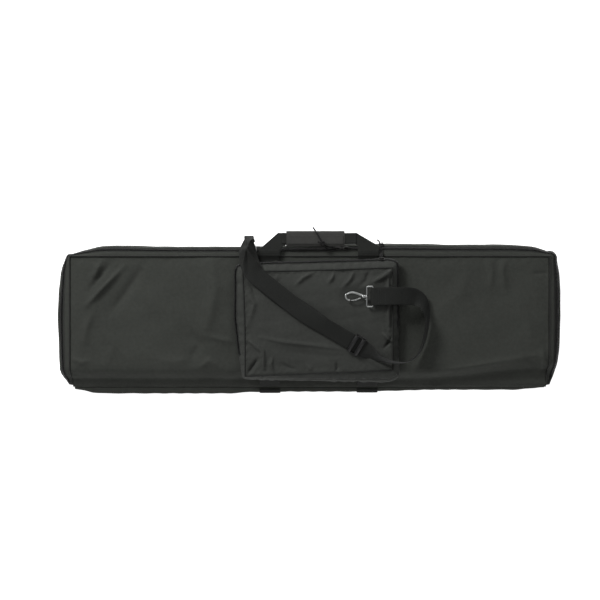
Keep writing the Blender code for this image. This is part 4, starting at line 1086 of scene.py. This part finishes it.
def d_rings():
    """A D-shaped ring held in a folded webbing tab at each side."""
    bodies = {"left": "lid", "right": "right_ring"}
    for side, x in RING_X.items():
        x += RING_SHIFT[side]
        shoulder, path, half = RING_Y + RING_DEPTH * 0.40, [], RING_HALF[side]
        path += [(x - half + 0.002 + k * (2 * half - 0.004) / 8, RING_Y, RING_Z) for k in range(9)]
        path += [(x + half - 0.0006, RING_Y + 0.0006, RING_Z), (x + half, RING_Y + 0.003, RING_Z)]
        for k in range(25):
            a = math.pi * k / 24
            path.append((x + half * math.cos(a),
                         shoulder + (RING_Y + RING_DEPTH - shoulder) * math.sin(a), RING_Z))
        path += [(x - half, RING_Y + 0.003, RING_Z), (x - half + 0.0006, RING_Y + 0.0006, RING_Z)]
        tube("dee_" + side, path, RING_WIRE, "steel", bodies[side], ("d_ring_" + side,), cyclic=True)
        turn = RING_WIRE + 0.0008
        low = [Vector((x, 0.1292, RING_Z - 0.0011)), Vector((x, 0.1318, RING_Z - 0.0011)),
               Vector((x, RING_Y - 0.005, RING_Z - 0.0014)), Vector((x, RING_Y - 0.0016, RING_Z - turn))]
        arc = [Vector((x, RING_Y + turn * math.cos(a), RING_Z + turn * math.sin(a)))
               for a in np.radians(np.linspace(-90, 90, 12))]
        path = low + arc + [Vector((p.x, p.y, 2 * RING_Z - p.z)) for p in reversed(low)]
        band("dee_tab_" + side, path, [Vector((1, 0, 0))] * len(path), 2 * half - 0.007, 0.0011,
             "webbing", "lid", ("d_ring_tab_" + side,), 8, 0.0001)
        rows = [Vector((x + dx, 0.1320, RING_Z + 0.0018)) for dx in np.linspace(-0.016, 0.016, 9)]
        stitch_row("lid", rows, (0, 0, 1))


# ---- snap hooks ---------------------------------------------------------------------
FRAME_HALF, FRAME_LONG, HOOK_NOSE = 0.0215, 0.0130, 0.0265
GATHERED = 0.52           # how narrow the strap is drawn together at the side hook


def axes_matrix(origin, x_axis, y_axis):
    z_axis = x_axis.cross(y_axis).normalized()
    turn = Matrix((x_axis, y_axis, z_axis)).transposed().to_4x4()
    return Matrix.Translation(origin) @ turn


def lathe(name, profile_points, matrix, finish, body, replaces=(), sides=20):
    """Turned round the local X axis; the profile is (distance along, radius)."""
    rings = []
    for u, r in profile_points:
        rings += [matrix @ Vector((u, r * math.cos(2 * math.pi * k / sides),
                                   r * math.sin(2 * math.pi * k / sides))) for k in range(sides)]
    faces = grid_faces(len(profile_points), sides, False, True).tolist()
    last = (len(profile_points) - 1) * sides
    faces = [f[::-1] for f in faces] + [tuple(range(sides))[::-1], tuple(range(last, last + sides))]
    faces = [tuple(f)[::-1] for f in faces]
    return piece(name, rings, faces, finish, body, replaces)


def hook_frame(name, matrix, half, body, node_name):
    corners = ((0, -half), (FRAME_LONG, -half), (FRAME_LONG, half), (0, half))
    path, r = [], 0.003
    for i, (x, y) in enumerate(corners):
        a, b = Vector((*corners[i - 1], 0)), Vector((*corners[(i + 1) % 4], 0))
        p = Vector((x, y, 0))
        start, end = p + (a - p).normalized() * r, p + (b - p).normalized() * r
        for k in range(7):
            t = k / 6
            path.append(matrix @ (start * (1 - t) ** 2 + p * 2 * t * (1 - t) + end * t * t))
        for t in (0.25, 0.5, 0.75):
            nxt = b + (p - b).normalized() * r
            path.append(matrix @ end.lerp(nxt, t))
    tube(name, path, BAR_R, "steel", body, (node_name,), sides=14, cyclic=True)
    boss = [(FRAME_LONG - 0.0022, 0.0012), (FRAME_LONG - 0.0018, 0.0026), (FRAME_LONG, 0.0034),
            (FRAME_LONG + 0.0016, 0.0036), (FRAME_LONG + 0.0019, 0.0022)]
    lathe(name + "_boss", boss, matrix, "steel", body)


def hook_body(name, matrix, body, node_name):
    neck, end = FRAME_LONG + BAR_R + 0.0006, FRAME_LONG + BAR_R + 0.0084
    length = HOOK_NOSE + 0.0085
    barrel = [(neck, 0.0016), (neck + 0.0002, 0.0036), (neck + 0.0010, 0.0040), (neck + 0.0022, 0.0040),
              (neck + 0.0026, 0.0034), (neck + 0.0032, 0.0034), (neck + 0.0036, 0.0039),
              (neck + 0.0068, 0.0036), (neck + 0.0084, 0.0026)]
    lathe(name + "_barrel", barrel, matrix, "steel", body)
    upper = [(end + length * t, 0.0088 * math.sin(math.pi * (0.06 + 0.89 * t ** 1.4)) ** 0.75)
             for t in (0.0, 0.15, 0.3, 0.45, 0.6, 0.75, 0.88)]
    nose = end + length
    tip = [(nose - 0.0008, 0.0040), (nose, -0.0002), (nose - 0.0012, -0.0042),
           (nose - 0.0050, -0.0072), (nose - 0.0092, -0.0078)]
    route = smooth_path([(neck + 0.004, 0.0, 0.0)] + [(x, y, 0.0) for x, y in upper + tip], 0.0012)
    path = [matrix @ Vector(p) for p in route]
    share = np.linspace(0, 1, len(path))
    radii = 0.0028 - 0.0007 * ease(share * 2.5) + 0.00025 * np.exp(-((share - 0.8) / 0.08) ** 2)
    tube(name, path, radii, "steel", body, (node_name,), sides=16)


def hook_gate(name, matrix, body, node_name):
    start = FRAME_LONG + BAR_R + 0.0118
    end = FRAME_LONG + BAR_R + 0.0084 + HOOK_NOSE + 0.0085 - 0.0116
    path = [(start + 0.0006, -0.0032), (start + 0.003, -0.0044), (start + 0.009, -0.0066),
            (end - 0.004, -0.0080), (end - 0.0002, -0.0080)]
    path = [matrix @ Vector((x, y, 0)) for x, y in path]
    route = [Vector(p) for p in smooth_path([tuple(p) for p in path], 0.0012)]
    radii = np.interp(np.linspace(0, 1, len(route)), (0, 0.2, 0.8, 1.0), (0.0016, 0.0014, 0.0013, 0.0014))
    tube(name, route, radii, "steel", body, (node_name,), sides=12)
    stud = matrix @ Matrix.Translation((start + 0.0100, -0.0062, 0)) @ Matrix.Rotation(-math.pi / 2, 4, "Z")
    lathe(name + "_stud", [(-0.0004, 0.0015), (0.0014, 0.0015), (0.0018, 0.0022), (0.0026, 0.0022),
                           (0.0029, 0.0014)], stud, "steel", body)


# ---- shoulder strap -----------------------------------------------------------------
HOOK_BAR = Vector((0.1345, 0.0460, 0.1000))
SIDE_BAR = Vector((RING_X["left"] + 0.0045, 0.1700, 0.0110))
SIDE_NOSE = Vector((RING_X["left"] + 0.0045, 0.1626, 0.0667))
SIDE_SWIVEL = 45.0
RUN_START, RUN_END = Vector((0.0260, -0.0145, 0.1015)), Vector((0.1180, -0.0680, 0.1015))
RUN_ROLL, ADJUSTER_AT, RETURN_END_X = 22.0, 0.80, 0.030


def side_axes():
    nose = (SIDE_NOSE - SIDE_BAR).normalized()
    return nose, Vector((0.0, nose.z, -nose.y))


def side_route():
    nose, away = side_axes()
    spots = [(0.0096, 0.050), (0.0100, 0.040), (0.0094, 0.030), (0.0070, 0.0215), (0.0042, 0.0160),
             (0.0028, 0.0105), (0.0, 0.0064), (-0.0027, 0.0030), (-0.0032, 0.0), (-0.0023, -0.0023),
             (0.0, -0.0032), (0.0023, -0.0023), (0.0033, 0.0), (0.0048, 0.0050), (0.0068, 0.0110),
             (0.0088, 0.0175), (0.0112, 0.0240), (0.0130, 0.0320), (0.0134, 0.0420), (0.0128, 0.052)]
    return [SIDE_BAR + away * p + nose * q for p, q in spots]


def strap_route():
    """Upper layer from the case's top edge over the pocket, then the loop: x, y, z, roll."""
    run = [tuple(RUN_START.lerp(RUN_END, t)) + (RUN_ROLL,) for t in (0.0, 0.17, 0.85, 1.0)]
    return [(-0.1370, 0.1652, 0.0785, 0), (-0.1362, 0.1480, 0.0825, 0), (-0.1335, 0.1310, 0.0860, 0),
            (-0.1285, 0.1130, 0.0925, 0), (-0.1180, 0.0935, 0.0948, 0), (-0.0919, 0.0718, 0.0948, 0),
            (-0.0554, 0.0429, 0.0948, 0), (-0.0222, 0.0171, 0.0955, 3), (0.0080, -0.0035, 0.0990, 14),
            *run, (0.1330, -0.0768, 0.1025, 46), (0.1500, -0.0860, 0.1080, 68),
            (0.1760, -0.0935, 0.1085, 78), (0.2040, -0.0945, 0.0970, 84), (0.2255, -0.0850, 0.0840, 80),
            (0.2400, -0.0670, 0.0780, 75), (0.2490, -0.0390, 0.0780, 72), (0.2535, -0.0090, 0.0780, 70),
            (0.2515, 0.0150, 0.0775, 60), (0.2440, 0.0330, 0.0770, 42), (0.2300, 0.0435, 0.0800, 20),
            (0.2130, 0.0470, 0.0905, 5), (0.1930, 0.0475, 0.1000, 0), (0.1700, 0.0470, 0.1035, 0),
            (0.1480, 0.0464, 0.1033, 0)]


def with_across(samples):
    centres, across = [], []
    for i, sample in enumerate(samples):
        before, after = samples[max(i - 1, 0)], samples[min(i + 1, len(samples) - 1)]
        heading = Vector((after[0] - before[0], after[1] - before[1], 0.0)).normalized()
        level = Vector((-heading.y, heading.x, 0.0))
        roll = math.radians(sample[3])
        centres.append(Vector(sample[:3]))
        across.append(level * math.cos(roll) + Vector((0, 0, math.sin(roll))))
    return centres, across


def finer(points, sides, parts):
    """The same curve with more stations, for the ribs and bends to show smoothly."""
    data = [tuple(p) + tuple(s) for p, s in zip(points, sides)]
    found = []
    for i in range(len(data) - 1):
        p0, p1 = data[max(i - 1, 0)], data[i]
        p2, p3 = data[i + 1], data[min(i + 2, len(data) - 1)]
        found += [between(p0, p1, p2, p3, k / parts) for k in range(parts)]
    found.append(data[-1])
    return [Vector(f[:3]) for f in found], [Vector(f[3:]).normalized() for f in found]


RISE = ((0.1662, 38.0, -0.0030), (0.1480, 58.0, -0.0080), (0.1310, 46.0, -0.0060), (0.1130, 18.0, -0.0020),
        (0.0935, 0.0, 0.0))       # height up the case, lean of each layer, sideways shift


def lean(centre, across, sign):
    """Near the case's top edge the two layers stand against each other like a ridge tent."""
    ys = [row[0] for row in RISE][::-1]
    angle = math.radians(float(np.interp(centre.y, ys, [row[1] for row in RISE][::-1]))) * sign
    shift = float(np.interp(centre.y, ys, [row[2] for row in RISE][::-1])) * sign
    if centre.x > -0.10 or abs(angle) < 1e-4:
        return centre, across
    lift = 0.0045 * math.sin(abs(angle))
    turned = Matrix.Rotation(angle, 3, Vector((0, -1, 0))) @ across
    return centre + Vector((shift, 0.0, lift)), turned


def shoulder_strap():
    """One length of webbing: return layer, turn in the side hook, upper layer, loop, free hook."""
    upper, across = with_across(smooth_path(strap_route(), 0.009))
    lower, low_sides = [], []
    for i in range(next(k for k, c in enumerate(upper) if c.x > RETURN_END_X)):
        along = (upper[i + 1] - upper[max(i - 1, 0)]).normalized()
        drift = across[i] * 0.0022 * math.sin(i * 0.33)
        spot = upper[i] - along.cross(across[i]).normalized() * (LAYER - 0.0004) + drift
        spot, side = lean(spot, across[i], -1.0)
        lower.append(spot)
        low_sides.append(side)
    leaned = [lean(c, a, 1.0) for c, a in zip(upper, across)]
    upper, across = [p for p, _ in leaned], [a for _, a in leaned]
    bend = side_route()
    centres = lower[::-1] + bend + upper
    sides = low_sides[::-1] + [Vector((1.0, 0.0, 0.0))] * len(bend) + across
    turn = BAR_R + 0.0005 + STRAP_T / 2
    for k in range(5):
        a = math.radians(90 + 45 * k)
        centres.append(HOOK_BAR + Vector((turn * math.cos(a), 0.0, turn * math.sin(a))))
    centres += [HOOK_BAR + Vector((0.008, 0.0, -turn * 0.9)), HOOK_BAR + Vector((0.030, 0.0, -turn * 0.5))]
    sides += [Vector((0.0, -1.0, 0.0))] * 7
    centres, sides = finer(centres, sides, 2)
    drawn = [float(ease((p.y - 0.140) / 0.028)) * (p.x < -0.10) for p in centres]
    centres = [p + Vector((0.0045 * k * (p.z > 0.066), 0, 0)) for p, k in zip(centres, drawn)]
    widths = np.array([STRAP_W * (1 - (1 - GATHERED) * k) for k in drawn])
    band("shoulder_strap_webbing", centres, sides, widths, STRAP_T * 0.85, "strap", "lid",
         ("shoulder_strap",), 12)
    for dx in (0.0120, 0.0160, 0.0260):
        spot = HOOK_BAR + Vector((dx, 0.0, turn + 0.0014))
        rows = [spot + Vector((0, dy, 0.0)) for dy in np.linspace(-0.016, 0.016, 10)]
        stitch_row("lid", rows, (0, 0, 1))


def adjuster():
    """Three-bar slide: a rounded frame over the strap with a middle bar under it."""
    along = (RUN_END - RUN_START).normalized()
    level = Vector((-along.y, along.x, 0.0))
    roll = math.radians(RUN_ROLL)
    across = level * math.cos(roll) + Vector((0, 0, math.sin(roll)))
    matrix = axes_matrix(RUN_START.lerp(RUN_END, ADJUSTER_AT), along, across)
    bars = (("bar_low", -0.0084, 0.0036, 0.0042, 0.0026), ("bar_high", 0.0084, 0.0036, 0.0042, 0.0026),
            ("bar_middle", 0.0, -0.0030, 0.0030, 0.0016))
    for name, x, z, half_x, half_z in bars:
        verts, sides, ys = [], 14, (-0.0210, -0.0200, 0.0200, 0.0210)
        for y, k in zip(ys, (0.8, 1.0, 1.0, 0.8)):
            verts += [matrix @ Vector((x + half_x * k * math.cos(2 * math.pi * j / sides), y,
                                       z + half_z * k * math.sin(2 * math.pi * j / sides)))
                      for j in range(sides)]
        faces = [f[::-1] for f in grid_faces(4, sides, False, True).tolist()]
        faces += [tuple(range(sides)), tuple(range(3 * sides, 4 * sides))[::-1]]
        piece("adjuster_" + name, verts, [tuple(f)[::-1] for f in faces], "plastic", "adjuster",
              ("strap_adjuster",) if name == "bar_low" else ())
    for sign in (-1, 1):
        outline = smooth_path([(-0.0124, 0.0, 0.0016), (-0.0118, 0.0, 0.0028), (0.0, 0.0, 0.0030),
                               (0.0118, 0.0, 0.0028), (0.0124, 0.0, 0.0016), (0.0112, 0.0, -0.0006),
                               (0.004, 0.0, -0.0034), (-0.004, 0.0, -0.0034), (-0.0112, 0.0, -0.0006)],
                              0.0012)
        verts = []
        for y in (0.0196, 0.0201, 0.0216, 0.0221):
            shrink = 1.0 if 0.020 < y < 0.022 else 0.94
            verts += [matrix @ Vector((p[0] * shrink, sign * y, p[2] * shrink)) for p in outline]
        n = len(outline)
        faces = grid_faces(4, n, False, True).tolist()
        faces += [tuple(range(n))[::-1], tuple(range(3 * n, 4 * n))]
        faces = [tuple(f)[::-sign] for f in faces]
        piece("adjuster_rail_" + ("low" if sign < 0 else "high"), verts, faces, "plastic", "adjuster")


def strap_hooks():
    """The free hook on the pocket, and the one clipped to the left ring."""
    free = axes_matrix(HOOK_BAR, Vector((-1, 0, 0)), Vector((0, 1, 0)))
    nose, _ = side_axes()
    flat = axes_matrix(SIDE_BAR, nose, Vector((1, 0, 0)))
    turned = Matrix.Rotation(math.radians(SIDE_SWIVEL), 3, nose) @ Vector((1, 0, 0))
    side = axes_matrix(SIDE_BAR, nose, turned)
    hook_frame("pocket_hook_loop", free, FRAME_HALF, "lid", "free_hook_frame")
    hook_frame("ring_hook_loop", flat, FRAME_HALF * GATHERED, "lid", "side_hook_frame")
    hook_body("pocket_hook", free, "free_hook", "free_hook_body")
    hook_body("ring_hook", side, "lid", "side_hook_body")
    hook_gate("pocket_hook_gate", free, "hook_gate", "free_hook_gate")
    hook_gate("ring_hook_gate", side, "lid", "side_hook_gate")


# ---- zip sliders --------------------------------------------------------------------
def slider(name, origin, normal, heading, body, node_name):
    """Wedge-shaped body, raised bridge and a small wire loop for the cord."""
    x_axis = Vector((heading, 0, 0))
    matrix = axes_matrix(origin, x_axis, normal.cross(x_axis))
    outline = [(-0.0068, -0.0024), (-0.0040, -0.0036), (0.0040, -0.0046), (0.0066, -0.0040),
               (0.0072, 0.0), (0.0066, 0.0040), (0.0040, 0.0046), (-0.0040, 0.0036), (-0.0068, 0.0024)]
    verts, n = [], len(outline)
    for z, k in ((0.0013, 0.9), (0.0017, 1.0), (0.0027, 1.0), (0.0032, 0.88)):
        verts += [matrix @ Vector((x * k, y * k, z)) for x, y in outline]
    faces = grid_faces(4, n, False, True).tolist()
    faces += [tuple(range(n))[::-1], tuple(range(3 * n, 4 * n))]
    piece(name, verts, faces, "slider", body, (node_name,), smooth=False)
    arch = smooth_path([(-0.0048, 0, 0.0028), (-0.0038, 0, 0.0046), (0.0, 0, 0.0052), (0.0034, 0, 0.0045),
                        (0.0046, 0, 0.0028)], 0.001)
    tube(name + "_bridge", [matrix @ Vector(p) for p in arch], 0.0010, "slider", body, sides=10, flat=1.5)
    ring = [matrix @ Vector((-0.0050 + 0.0030 * math.cos(a), 0.0022 * math.sin(a), 0.0040))
            for a in np.linspace(0, 2 * math.pi, 20, endpoint=False)]
    tube(name + "_eye", ring, 0.0006, "slider", body, sides=8, cyclic=True)


def sliders():
    """Two sliders on the main zip and one on the pocket's, each seated on the coil."""
    a = math.radians(ZIP_ANGLE)
    half, middle = (FRONT_Z - 0.0040) / 2, (FRONT_Z + 0.0040) / 2
    for side, x in SLIDER_X.items():
        bulge = top_bulge(x)
        normal = Vector((0.0, math.cos(a) / bulge, math.sin(a) / half)).normalized()
        seat = Vector((x, TOP_Y + GAP + bulge * math.cos(a), middle + half * math.sin(a)))
        slider("zip_slider_" + side, seat, normal, 1 if side == "left" else -1, side + "_slider",
               "main_slider_" + side)
    grid = pocket_face_points(150, 104)
    point, up = PocketWall(grid).at(0.612, 0.0, 0.0)
    near = int(np.argmin(np.abs(point[:, 0] - POCKET_SLIDER_X) + 10 * (point[:, 1] < 0.08)))
    seat, normal = Vector(point[near]), Vector(up[near])
    slider("pocket_zip_slider", seat, Vector((0, normal.y, normal.z)).normalized(), 1, "pocket_pull",
           "pocket_slider")


# ---- build --------------------------------------------------------------------------
stage()
MATERIALS = all_materials()
cords()
front_panel()
rear_panel()
gussets()
bottom_edge()
webbing_runs()
pocket()
handle("front_carry", HANDLE_Z, "front_handle", "front_handle_webbing", (0.0019, -0.0019))
handle("rear_carry", REAR_HANDLE_Z, "rear_handle", "rear_handle_webbing", (0.0019, 0.0033))
handle_risers()
grip_wrap()
d_rings()
shoulder_strap()
adjuster()
strap_hooks()
sliders()
make_stitches()
